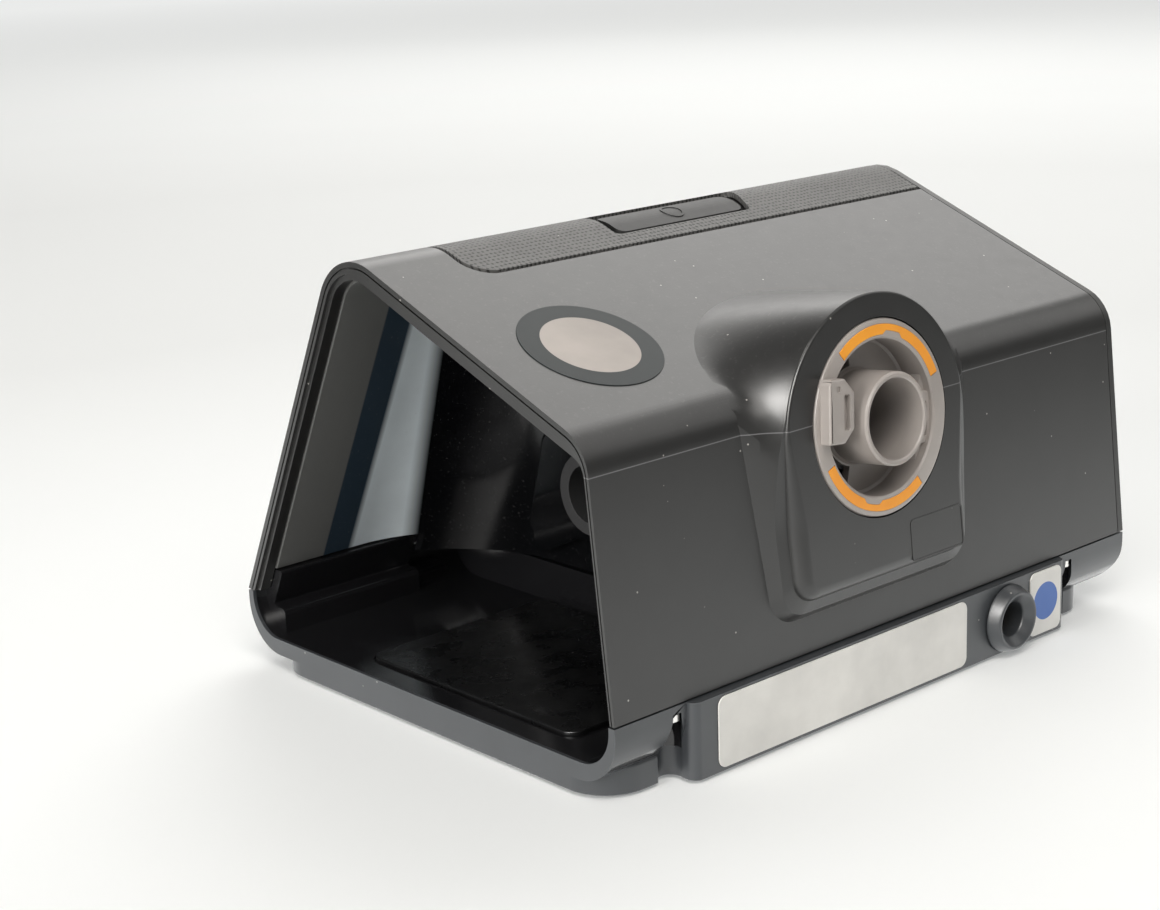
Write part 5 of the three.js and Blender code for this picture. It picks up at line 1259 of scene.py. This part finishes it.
def inside_face(start, end, inset, wall, radius):
    """Everything inside one leaning face of the case, with a rounded corner to the end wall."""
    along = (end - start) / np.linalg.norm(end - start)
    where = axes((0, *start), (1, 0, 0), (0, -along[1], along[0]), (0, -along[0], -along[1]))
    right = CASE_RIGHT + OVER
    corners = [(wall, inset, radius), (right, inset, 0), (right, FAR, 0), (wall, FAR, 0)]
    return prism(rounded(corners, 36), where, -FAR - FAR, FAR)


def bay_block(extra, wall, bottom, end):
    """The bay's lining or, with the lining's wall as the extra inset, the room inside it."""
    inset, round_by = LINER_INSET + extra, LINER_WALL - extra
    front = inside_face(RIDGE, FRONT_FOOT, inset, wall, BAY_FRONT_RADIUS + round_by)
    rear = inside_face(REAR_FOOT, SHOULDER, inset, wall, BAY_REAR_RADIUS + round_by)
    section = side_section(inset, ROOF_WALL + GAP + extra, inset, bottom)
    return as_shape(worked("block", prism(section, SIDE, wall, end), trim(front), trim(rear)))


class MACHINE_OT_bay(MachineOperator, bpy.types.Operator):
    """The bay's lining with its swept corner and port housing, and the heater plate on its four
    springs"""

    bl_idname = "machine.bay"
    bl_label = "Tub bay"

    def execute(self, context):
        s = context.scene.machine_bay
        wall, under = BAY_WALL - LINER_WALL, LINER_LOW - OVER
        outside = bay_block(0, wall, LINER_LOW, CASE_RIGHT - RIM_DEPTH - GAP)
        pad = prism(rounded(PORT_PAD), SIDE, wall, BAY_WALL + PAD_DEPTH, PAD_EDGE)
        steps = [
            cut(bay_block(LINER_WALL, BAY_WALL, under, CASE_RIGHT)),
            join(as_shape(worked("pad", pad, trim(outside)))),
        ]
        back, ahead = BAY_WALL - PORT_REACH[0], BAY_WALL + PORT_REACH[1]
        for y in PORTS_Y:
            steps.append(cut(rod(PORT_RADIUS, SIDE, back, ahead, 96, y, PORT_HEIGHT)))
        front, rear, top = RAIL_ROOM
        rail_room = rectangle(front, rear, under, top)
        steps.append(cut(prism(rail_room, SIDE, RAIL_START - LOOSE_GAP, CASE_RIGHT)))
        steps.append(cut(prism(rectangle(*BOSS_ROOM), PLAN, under, BOSS_ROOM_TOP)))
        obj = worked("bay_lining", outside, *steps)
        finish = lining_finish(s.lining)
        dress(obj, finish, "housing", "bay_black", "bay_liner", edge=CASE_EDGE)

        under = PLATE_TOP - PLATE_THICKNESS
        plate = prism(rectangle(*PLATE, PLATE_CORNER), PLAN, under, PLATE_TOP, PLATE_EDGE)
        obj = worked("heater_top", plate)
        dress(obj, plate_finish(s.plate), "heater", "plate_steel", "heater_plate")

        steel = metal_finish("spring steel", (0.62, 0.61, 0.59), 0.30)
        low, top = BASE_UNDER + BASE_WALL + SPRING_GAP, under - SPRING_GAP
        for node in SPRINGS:
            x, y, _ = np.mean(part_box(node), 0) / MM
            obj = linked(node.replace("spring", "coil"), coil(x, y, low, top))
            dress(obj, steel, "housing", "steel", node)
            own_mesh(obj)
        return {"FINISHED"}


def dish_body(wall):
    """The tray's rounded side section carried along x and trimmed by its rounded end section."""
    low = DISH_BOTTOM + wall
    top = BASE_TOP + wall
    rear, front = REAR_FOOT[0] - wall, FRONT_FOOT[0] + wall
    left, right = CASE_LEFT + wall, CASE_RIGHT + wall
    radius, end_radius = DISH_RADIUS - wall, DISH_END_RADIUS - wall
    side = rounded([(rear, low, radius), (rear, top, 0), (front, top, 0), (front, low, radius)], 16)
    ends = rounded([(left, low, end_radius), (right, low, 0), (right, top, 0), (left, top, 0)], 16)
    body = prism(side, SIDE, CASE_LEFT, CASE_RIGHT)
    return as_shape(worked("dish", body, trim(prism(ends, REAR, FRONT_FOOT[0], REAR_FOOT[0]))))


def box_shape(left, right, front, rear, low, top):
    return prism(rectangle(left, right, front, rear), PLAN, low, top)


def plinth_plan(inset):
    left, right, front, rear = grown(PLINTH, -inset)
    small, large = PLINTH_CORNERS[0] - inset, PLINTH_CORNERS[1] - inset
    corners = (
        (left, front, small),
        (right, front, large),
        (right, rear, large),
        (left, rear, small),
    )
    return rounded(corners, 16)


def front_at(height, inset):
    """Where the case's front wall, moved inwards, stands at a height."""
    line = inset_line(RIDGE, FRONT_FOOT, inset)
    return meet(line, (np.array([0.0, height]), np.array([1.0, 0.0])))[0]


def guide_rail():
    """The section of the rail that guides the tub, in (y, z): its back follows the case's wall."""
    floor = BAY_FLOOR - GAP
    back, low_step, high_step = RAIL_STEP
    step_radius, back_radius, edge, wall_edge = RAIL_RADII
    top_at = front_at(RAIL_TOP, CASE_WALL) + LOOSE_GAP
    corners = [
        (RAIL_FRONT, floor, 0),
        (RAIL_REAR, floor, 0),
        (RAIL_REAR, low_step, step_radius),
        (back, high_step, back_radius),
        (top_at + RAIL_WIDTH, RAIL_TOP, edge),
        (top_at, RAIL_TOP, wall_edge),
        (front_at(BASE_TOP, CASE_WALL) + LOOSE_GAP, BASE_TOP, 0),
        (RAIL_FRONT, BASE_TOP, 0),
    ]
    return rounded(corners, 6)


class MACHINE_OT_base(MachineOperator, bpy.types.Operator):
    """The base tray: rounded dish, plinth and label block joined and hollowed, with the bay's
    floor, the guide rail, screw pockets and foot seats"""

    bl_idname = "machine.base"
    bl_label = "Base tray"

    def execute(self, context):
        s = context.scene.machine_case
        left, right = BLOCK
        ahead = BLOCK_BACK - BLOCK_DEPTH
        corners = ((left, ahead, 0), (right, ahead, 0))
        corners += ((right, BLOCK_BACK, BLOCK_CORNER), (left, BLOCK_BACK, BLOCK_CORNER))
        block = join(prism(rounded(corners), PLAN, BASE_UNDER, BASE_TOP))
        plinth = join(prism(plinth_plan(0), PLAN, BASE_UNDER, PLINTH_TOP, PLINTH_EDGE))
        floor_top = BASE_UNDER + BASE_WALL
        end = BAY_WALL - LINER_WALL - BASE_WALL
        room = trim(box_shape(CASE_LEFT, end, *HOLLOW_Y, floor_top, TRAY_HIGH))
        hollow = as_shape(worked("hollow", dish_body(BASE_WALL), room))
        inner = (PLINTH[0] + BASE_WALL, end, PLINTH[2] + BASE_WALL, PLINTH[3] - BASE_WALL)
        behind = (left + BASE_WALL, end, ahead, BLOCK_HOLLOW_BACK)
        rear, front = REAR_FOOT[0] - RIM[0], FRONT_FOOT[0] + RIM[0]
        low, high, turn = BAY_FLOOR, TRAY_HIGH, BAY_FLOOR_RADIUS
        corners = ((rear, low, turn), (rear, high, 0), (front, high, 0), (front, low, turn))
        bay = rounded(corners, 16)
        plate = rectangle(*grown(PLATE, LOOSE_GAP), PLATE_CORNER)
        steps = [
            plinth,
            block,
            cut(prism(plinth_plan(BASE_WALL), PLAN, floor_top, PLINTH_HOLLOW_TOP)),
            cut(hollow),
            cut(box_shape(*inner, floor_top, HOLLOW_TOP)),
            cut(box_shape(*behind, floor_top, TRAY_HIGH)),
            cut(prism(bay, SIDE, BAY_WALL, CASE_RIGHT + OVER)),
            cut(prism(plate, PLAN, floor_top, BAY_FLOOR + OVER)),
            join(prism(guide_rail(), SIDE, RAIL_START, CASE_RIGHT - RIM_DEPTH - GAP)),
        ]
        whole = as_shape(worked("whole", dish_body(0), plinth, block))
        for x, y in SCREWS:
            tower = rod(SCREW_POCKET + TOWER_WALL, PLAN, BASE_UNDER, BASE_TOP, 48, x, y)
            steps.append(join(as_shape(worked("tower", tower, trim(whole)))))
        for x, y in SCREWS:
            steps.append(cut(rod(SCREW_POCKET, PLAN, BASE_UNDER - OVER, SCREW_SEAT, 48, x, y)))
            steps.append(cut(rod(SCREW_HOLE, PLAN, 0, SEAM, 24, x, y)))
        for x, y in FEET:
            steps.append(cut(rod(FOOT_RADIUS + GAP, PLAN, 0, BASE_UNDER + FOOT_SEAT, 64, x, y)))
        steps.append(cut(rod(INLET_SLEEVE + GAP, INLET, -INLET_DEPTH, OVER, 96)))
        obj = worked("base_shell", dish_body(0), *steps)
        dress(obj, base_finish(s.base_colour), "housing", "base_grey", "base_tray", edge=s.edge)
        return {"FINISHED"}


def arc_bar(inner, outer, start, end, steps=96):
    """A bar between two radii from one angle to another, its inner edge coming out by a share
    of its width over a short notch at the middle of the arc. The notch's half length and the
    length of its slanting ends are shares of half the arc."""
    t = np.linspace(math.radians(start), math.radians(end), steps + 1)
    across = np.linspace(-1, 1, steps + 1)
    reach = np.clip((NOTCH_HALF - np.abs(across)) / NOTCH_FADE, 0, 1)
    waist = NOTCH_WIDTH * (outer - inner) * reach
    far = np.stack([outer * np.cos(t), outer * np.sin(t)], 1)
    near = np.stack([(inner + waist) * np.cos(t), (inner + waist) * np.sin(t)], 1)
    return np.concatenate([far, near[::-1]])


def ring_profile(web):
    """The connector's turned profile: tube, web, sleeve and flange with a rounded rim."""
    return [
        (TUBE_BORE, -TUBE_DEPTH),
        (TUBE_RADIUS, -TUBE_DEPTH),
        (TUBE_RADIUS, -SLEEVE_DEPTH),
        (SLEEVE_RADIUS, -SLEEVE_DEPTH),
        (SLEEVE_RADIUS, -FLANGE_DEPTH),
        (FLANGE_RADIUS, -FLANGE_DEPTH),
        *((FLANGE_RADIUS - inward, -down) for inward, down in FLANGE_ROUND),
        (ANNULUS_RADIUS + ANNULUS_BEVEL, 0.0),
        (ANNULUS_RADIUS, -ANNULUS_BEVEL),
        (ANNULUS_RADIUS, web + WEB_CORNER),
        (ANNULUS_RADIUS - WEB_CORNER, web),
        (TUBE_RADIUS + WEB_CORNER, web),
        (TUBE_RADIUS, web + WEB_CORNER),
        (TUBE_RADIUS, TUBE_PROUD - TUBE_BEVEL),
        (TUBE_RADIUS - TUBE_BEVEL, TUBE_PROUD),
        (TUBE_BORE + BORE_BEVEL, TUBE_PROUD),
        (TUBE_BORE, TUBE_PROUD - BORE_BEVEL),
    ]


class MACHINE_OT_outlet(MachineOperator, bpy.types.Operator):
    """The outlet connector: a turned ring and tube with the contact block, the slotted key
    block and the seats of its two bands, and the bands themselves"""

    bl_idname = "machine.outlet"
    bl_label = "Air outlet"

    def execute(self, context):
        s = context.scene.machine_outlet
        web = WEB - SLEEVE_DEPTH
        low = web - GAP
        plan = rounded(CONTACT_PLAN, 6)
        root_under, root_over = ROOT_REACH
        head_under, head_over = HEAD_REACH
        root = prism(plan, KEYED, low, -OVER)
        root = worked("root", root, trim(rod(CONTACT_ROOT, KEYED, -root_under, root_over, 128)))
        head = prism(plan, KEYED, -CONTACT_FOOT, CONTACT_PROUD, CONTACT_EDGE)
        head = worked("head", head, trim(rod(FLANGE_RADIUS, KEYED, -head_under, head_over, 128)))
        slot = prism(rectangle(*CONTACT_SLOT), KEYED, CONTACT_PROUD - SLOT_DEPTH, LONG_OVER)
        x, y, dot, sunk = CONTACT_DOT
        steps = [
            join(as_shape(root)),
            join(as_shape(head)),
            join(prism(rectangle(*KEY), KEYED, low, -KEY_RECESS, KEY_EDGE)),
            cut(slot),
            cut(rod(dot, KEYED, CONTACT_PROUD - sunk, LONG_OVER, 32, x, y)),
            cut(prism(rectangle(*KEY_SLOT), KEYED, -KEY_RECESS - SLOT_DEPTH, 0)),
        ]
        for wing in KEY_WINGS:
            steps.append(join(prism(rounded(wing), KEYED, low, -WING_RECESS)))
        for start, end in VENTS:
            t = np.radians(np.linspace(start, end, 24))
            around = np.stack([np.cos(t), np.sin(t)], 1)
            vent = np.concatenate([VENT_RADII[0] * around, VENT_RADII[1] * around[::-1]])
            steps.append(cut(prism(vent, KEYED, -SLEEVE_DEPTH - OVER, web + VENT_REACH)))
        for start, end in BANDS.values():
            steps.append(cut(prism(arc_bar(*BAND, start, end), KEYED, -BAND_DEPTH, OVER)))
        obj = worked("ring_connector", turned(ring_profile(web), OUTLET, 192), *steps)
        finish = connector_finish(s.ring)
        dress(obj, finish, "outlet", "connector_grey", "outlet_connector", edge=RING_EDGE)

        f = moulded("band plastic", s.band, 0.42, grain=FINE_GRAIN, dust=0.03)
        for name, (start, end) in BANDS.items():
            bar = arc_bar(*BAND, start + BAND_END_PLAY, end - BAND_END_PLAY)
            bar = prism(shrunk(bar, BAND_PLAY), KEYED, BAND_PLAY - BAND_DEPTH, BAND_PROUD)
            obj = worked(name, bar)
            dress(obj, f.material, "outlet", "band_orange", f"orange_{name}", edge=BAND_EDGE)
        return {"FINISHED"}


class MACHINE_OT_power_inlet(MachineOperator, bpy.types.Operator):
    """The power inlet: a turned nose with a funnelled socket"""

    bl_idname = "machine.power_inlet"
    bl_label = "Power inlet"

    def execute(self, context):
        s = context.scene.machine_case
        radius, depth = INLET_FLOOR
        floor = rod(radius, INLET, -INLET_DEPTH, -depth, 96)
        obj = worked("inlet_nose", turned(INLET_PROFILE, INLET), join(floor))
        f = moulded("inlet plastic", s.base_colour, 0.36, grain=FINE_GRAIN, edge_wear_and_highlight=0.3)
        dress(obj, f.material, "housing", "base_grey", "power_inlet", edge=FINE_EDGE)
        return {"FINISHED"}


def round_place():
    """The round sticker's own frame on the roof, with its origin at the sticker's middle."""
    x, y, _ = ROUND_LABEL
    return moved(ROOF_SIDE, -x, (SHOULDER[0] - y) / -ROOF[0])


class MACHINE_OT_labels(MachineOperator, bpy.types.Operator):
    """The rating label and the small notice on the back, and the round sticker on the slope,
    all bare of words"""

    bl_idname = "machine.labels"
    bl_label = "Labels"

    def execute(self, context):
        s = context.scene.machine_labels
        low = BLOCK_BACK + STICKER_GAP
        finishes = {
            "rating_label": ("label_plate", paper("rating label", s.paper, 0.42).material),
            "small_notice": ("notice_sticker", notice_finish(s.paper, s.disc)),
        }
        for name, (left, right, corner) in LABELS.items():
            node, finish = finishes[name]
            plan = rectangle(left, right, LABEL_LOW, LABEL_TOP, corner)
            obj = worked(name, prism(plan, REAR, low, low + LABEL_THICKNESS, LABEL_EDGE, 3))
            dress(obj, finish, "housing", "label_white", node)
        high = STICKER_GAP + ROUND_THICKNESS
        disc = prism(circle(ROUND_LABEL[2], 160), round_place(), STICKER_GAP, high, ROUND_EDGE)
        obj = worked("round_label", disc)
        dress(obj, round_finish(), "housing", "label_white", "round_sticker")
        return {"FINISHED"}


class MACHINE_OT_display_side(MachineOperator, bpy.types.Operator):
    """The gloss display panel, its screen, the dial with grips r = R + g cos(n t) round its rim,
    and the home button"""

    bl_idname = "machine.display_side"
    bl_label = "Display side"

    def execute(self, context):
        x, up = SCREEN
        half_wide, half_high = SCREEN_SIZE[0] / 2, SCREEN_SIZE[1] / 2
        window = (x - half_wide, x + half_wide, up - half_high, up + half_high)
        dial, home = moved(FRONT, *DIAL), moved(FRONT, *HOME)
        facade = rectangle(*FACADE, FACADE_CORNER)
        opening = rectangle(*grown(window, GAP), SCREEN_CORNER)
        panel = worked(
            "display_front",
            prism(facade, FRONT, -FACADE_THICKNESS, 0, FACADE_EDGE),
            cut(prism(opening, FRONT, -FACADE_OVER, OVER)),
            cut(rod(DIAL_RADIUS + DIAL_MARGIN, dial, -DIAL_SUNK, OVER, 128)),
            cut(rod(DIAL_HOLE, dial, -FACADE_OVER, OVER, 64)),
            cut(rod(HOME_RADIUS + LOOSE_GAP, home, -FACADE_OVER, OVER, 64)),
        )
        gloss = glass_finish("display gloss", (0.006, 0.006, 0.007), 0.05)
        dress(panel, gloss, "housing", "display_black", "display_panel", edge=FINE_EDGE)

        t = np.linspace(0, 2 * math.pi, DIAL_GRIPS * 8, endpoint=False)
        rings = []
        for radius, height, grip in DIAL_PROFILE:
            wave = radius + grip * GRIP_DEPTH * np.cos(DIAL_GRIPS * t)
            rings.append(at(dial, wave * np.cos(t), wave * np.sin(t), height + DIAL_LIFT))
        knob = worked("dial_cap", skin(rings))
        f = moulded("knob plastic", (0.085, 0.087, 0.09), 0.34, grain=FINE_GRAIN, dust=0.03)
        dress(knob, f.material, "dial_knob", "knob_grey", "dial", angle=40)

        key = worked("home_cap", solid_turned(HOME_PROFILE, home, 96))
        dress(key, f.material, "home_key", "knob_grey", "home_button")

        low, high = SCREEN_DEPTHS
        glass = prism(rectangle(*window, SCREEN_CORNER), FRONT, -low, -high, SCREEN_EDGE)
        lens = worked("screen_glass", glass)
        dark = glass_finish("screen gloss", (0.004, 0.005, 0.007), 0.03)
        dress(lens, dark, "housing", "lens", "screen_lens")
        return {"FINISHED"}


def joined_and_smoothed():
    """A modifier tree that joins the loose triangles of a CAD piece and shades its curved faces
    evenly, leaving edges sharper than 30 degrees."""
    group = bpy.data.node_groups.new("joined and smoothed", "GeometryNodeTree")
    for way in ("INPUT", "OUTPUT"):
        group.interface.new_socket("Geometry", in_out=way, socket_type="NodeSocketGeometry")
    new = group.nodes.new
    start, end = new("NodeGroupInput"), new("NodeGroupOutput")
    merge = new("GeometryNodeMergeByDistance")
    merge.inputs["Distance"].default_value = JOIN_DISTANCE
    smooth, sharp = new("GeometryNodeSetShadeSmooth"), new("GeometryNodeSetShadeSmooth")
    sharp.domain = "EDGE"
    sharp.inputs["Shade Smooth"].default_value = False
    turn = new("GeometryNodeInputMeshEdgeAngle")
    compare = new("FunctionNodeCompare")
    compare.data_type = "FLOAT"
    compare.operation = "GREATER_THAN"
    compare.inputs[1].default_value = math.radians(30)
    link = group.links.new
    link(start.outputs[0], merge.inputs["Geometry"])
    link(merge.outputs["Geometry"], smooth.inputs["Geometry"])
    link(smooth.outputs["Geometry"], sharp.inputs["Geometry"])
    link(turn.outputs["Unsigned Angle"], compare.inputs[0])
    link(compare.outputs["Result"], sharp.inputs["Selection"])
    link(sharp.outputs["Geometry"], end.inputs[0])
    return group


COVERS = ("side_panel", "filter_cover", "card_cover", "accessory_cover")
FEET_AND_SEALS = ("foot_1", "foot_2", "foot_3", "foot_4", "inlet_port_seal", "outlet_port_seal")
SOFT_PARTS = ("accessory_socket", "home_switch")
AIR_PATH = ("muffler_box", "blower_mount", "blower_duct", "outlet_elbow")
BLOWER = ("volute_lower", "volute_lid", "impeller")
BOARDS = ("main_board", "control_board", "start_stop_switch")
SCREW_ENDS = ("rear_right", "rear_left", "front_right", "front_left")
SCREW_NODES = tuple(f"case_screw_{end}" for end in SCREW_ENDS)
TURNED_METAL = ("motor_shaft", "bearing_lower", "bearing_upper", "dial_plunger", "dial_encoder")
SHEET_METAL = ("card_socket", "display_module", "motor_cap")


class MACHINE_OT_frame_pieces(MachineOperator, bpy.types.Operator):
    """Finishes and rounded edges for the pieces that keep their CAD shape: the side panel and
    covers, screws, feet, seals and everything held inside the case"""

    bl_idname = "machine.frame_pieces"
    bl_label = "Covers, fixings and inner pieces"

    def execute(self, context):
        s = context.scene.machine_case
        group = joined_and_smoothed()
        cover = moulded("cover plastic", s.case_colour, 0.42, edge_wear_and_highlight=0.4)
        rubber = moulded("seal rubber", (0.012, 0.012, 0.013), 0.75, RUBBER_GRAIN, 1800)
        inner = moulded("inner plastic", (0.07, 0.073, 0.078), 0.5, dust=0.0)
        blower = moulded("blower plastic", (0.55, 0.56, 0.57), 0.45, dust=0.0)
        fleece = moulded("filter fleece", (0.60, 0.59, 0.55), 0.95, FLEECE_GRAIN, 900, dust=0.0)
        film = moulded("heater film", (0.32, 0.11, 0.03), 0.35, dust=0.0)
        board = board_finish("circuit board", (0.010, 0.075, 0.030))
        steel = metal_finish("screw steel", (0.62, 0.61, 0.59), 0.30)
        magnet = metal_finish("magnet", (0.16, 0.165, 0.17), 0.35)
        copper = metal_finish("copper windings", (0.55, 0.26, 0.13), 0.35)
        contact = metal_finish("contact metal", (0.72, 0.50, 0.20), 0.25)
        rows = (
            (cover.material, SOFT_EDGE, COVERS),
            (rubber.material, FINE_EDGE, FEET_AND_SEALS + SOFT_PARTS),
            (inner.material, FINE_EDGE, AIR_PATH),
            (blower.material, FINE_EDGE, BLOWER),
            (board, CRISP_EDGE, BOARDS),
            (steel, CRISP_EDGE, SCREW_NODES + TURNED_METAL + SHEET_METAL),
            (magnet, CRISP_EDGE, ("rotor_magnet",)),
            (copper, 0.0, ("motor_stator",)),
            (contact, CRISP_EDGE, ("power_contacts",)),
            (fleece.material, FINE_EDGE, ("air_filter",)),
            (film.material, 0.0, ("heater_element",)),
        )
        for material, edge, names in rows:
            for name in names:
                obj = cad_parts[name]
                for slot in obj.material_slots:
                    slot.material = material
                obj.modifiers.new("joined and smoothed", "NODES").node_group = group
                if edge:
                    round_edges(obj, edge, 30.0, 2)
        return {"FINISHED"}


def place_camera(scene, lens):
    """The camera at the photograph's view: turned from the rear towards the bay, tilted down
    and rolled about its own line of sight."""
    camera = bpy.data.objects.new("camera", bpy.data.cameras.new("camera"))
    scene.collection.objects.link(camera)
    turn, tilt, roll = (math.radians(a) for a in (CAMERA_TURN, CAMERA_TILT, CAMERA_ROLL))
    level, down = math.cos(tilt), math.sin(tilt)
    forward = Vector((-math.sin(turn) * level, -math.cos(turn) * level, -down))
    right = Vector((-math.cos(turn), math.sin(turn), 0))
    up = right.cross(forward)
    level_right = right * math.cos(roll) + up * math.sin(roll)
    level_up = up * math.cos(roll) - right * math.sin(roll)
    pose = Matrix((level_right, level_up, -forward)).transposed().to_4x4()
    pose.translation = Vector(CAMERA_PLACE)
    camera.matrix_world = pose
    camera.data.lens = lens
    camera.data.sensor_width = SENSOR
    camera.data.shift_x, camera.data.shift_y = CAMERA_SHIFT
    camera.data.clip_start, camera.data.clip_end = CAMERA_CLIP
    scene.camera = camera


def lay_floor(colour):
    """A level grid of tiles. Its finish glows a little for what the camera sees directly and for
    what glossy surfaces mirror, by its distance from the machine. Glossy surfaces also see it
    painted dark grey far from the machine, as painted shade in their reflections."""
    reach = FLOOR_REACH / MM
    row = FLOOR_TILES + 1
    x, y = np.meshgrid(np.linspace(-reach, reach, row), np.linspace(-reach, reach, row))
    points = np.stack([x, y, 0 * x], -1).reshape(-1, 3)
    i, j = np.meshgrid(np.arange(FLOOR_TILES), np.arange(FLOOR_TILES), indexing="ij")
    start = (i * row + j).ravel()
    tiles = np.stack([start, start + 1, start + row + 1, start + row], 1)
    floor = linked("floor", (points, tiles.tolist()))
    f = Finish("floor", 0.75, specular=0.2)
    path = f.nodes.new("ShaderNodeLightPath")
    direct, glossy = path.outputs["Is Camera Ray"], path.outputs["Is Glossy Ray"]
    away = f.distance(0.0, 0.0, 0.0)
    tone = f.blend(f.noise(3, 2), scaled(colour, 0.985), scaled(colour, 1.01))
    # Painted shade in reflections: glossy surfaces see the floor dark grey far from the machine
    dim = f.times(glossy, f.spread(away, *DIM_MIRRORED))
    f.set("Base Color", f.blend(dim, tone, (0.10, 0.10, 0.10)))
    glow = f.math("ADD", f.spread(away, *GLOW_NEAR), f.spread(away, *GLOW_FAR))
    mirrored = f.times(glossy, f.spread(away, *GLOW_MIRRORED))
    f.set("Emission Color", (0.965, 0.98, 0.975, 1))
    f.set("Emission Strength", f.math("ADD", f.times(direct, glow), mirrored))
    floor.data.materials.append(f.material)


def light_world(scene):
    """Plain level light from all sides, which the camera sees as a paler backdrop."""
    world = bpy.data.worlds.new("studio")
    scene.world = world
    world.use_nodes = True
    nodes, links = world.node_tree.nodes, world.node_tree.links
    background = nodes["Background"]
    background.inputs["Color"].default_value = (1.0, 0.985, 0.965, 1)
    strength = nodes.new("ShaderNodeMapRange")
    strength.inputs["To Min"].default_value, strength.inputs["To Max"].default_value = WORLD_LIGHT
    direct = nodes.new("ShaderNodeLightPath").outputs["Is Camera Ray"]
    links.new(direct, strength.inputs["Value"])
    links.new(strength.outputs["Result"], background.inputs["Strength"])


class MACHINE_OT_stage(MachineOperator, bpy.types.Operator):
    """The camera at the photograph's view, the pale floor and level soft light"""

    bl_idname = "machine.stage"
    bl_label = "Stage"

    def execute(self, context):
        s = context.scene.machine_stage
        scene = context.scene
        place_camera(scene, s.lens)
        lay_floor(s.floor_colour)
        light_world(scene)
        for name, place, size, power, colour in LAMPS:
            light = bpy.data.objects.new(name, bpy.data.lights.new(name, "AREA"))
            light.data.size = size
            light.data.energy = power
            light.data.color = colour
            light.location = place
            light.visible_diffuse = name not in GLOSS_LAMPS
            light.rotation_mode = "QUATERNION"
            light.rotation_quaternion = (Vector(place) - Vector(LAMP_AIM)).to_track_quat("Z", "Y")
            scene.collection.objects.link(light)
        scene.view_settings.view_transform = "Standard"
        return {"FINISHED"}


OPERATORS = (
    MACHINE_OT_case,
    MACHINE_OT_base,
    MACHINE_OT_top_panel,
    MACHINE_OT_start_button,
    MACHINE_OT_bay,
    MACHINE_OT_outlet,
    MACHINE_OT_power_inlet,
    MACHINE_OT_labels,
    MACHINE_OT_display_side,
    MACHINE_OT_frame_pieces,
    MACHINE_OT_stage,
)

SETTINGS = {
    "machine_case": CaseSettings,
    "machine_bay": BaySettings,
    "machine_outlet": OutletSettings,
    "machine_labels": LabelSettings,
    "machine_stage": StageSettings,
}


class MACHINE_PT_panel(bpy.types.Panel):
    """Lists the machine's pieces in the sidebar of the 3D view"""

    bl_label = "Machine"
    bl_idname = "MACHINE_PT_panel"
    bl_space_type = "VIEW_3D"
    bl_region_type = "UI"
    bl_category = "Machine"

    def draw(self, context):
        for name, group in SETTINGS.items():
            settings = getattr(context.scene, name)
            for key in group.__annotations__:
                self.layout.prop(settings, key)
        for operator in OPERATORS:
            self.layout.operator(operator.bl_idname)


def register():
    for item in (*SETTINGS.values(), *OPERATORS, MACHINE_PT_panel):
        bpy.utils.register_class(item)
    for name, group in SETTINGS.items():
        setattr(bpy.types.Scene, name, PointerProperty(type=group))


def unregister():
    for name in SETTINGS:
        delattr(bpy.types.Scene, name)
    for item in (MACHINE_PT_panel, *reversed(OPERATORS), *reversed(SETTINGS.values())):
        bpy.utils.unregister_class(item)


def main():
    register()
    for operator in OPERATORS:
        group, name = operator.bl_idname.split(".")
        getattr(getattr(bpy.ops, group), name)()


if __name__ == "__main__":
    main()
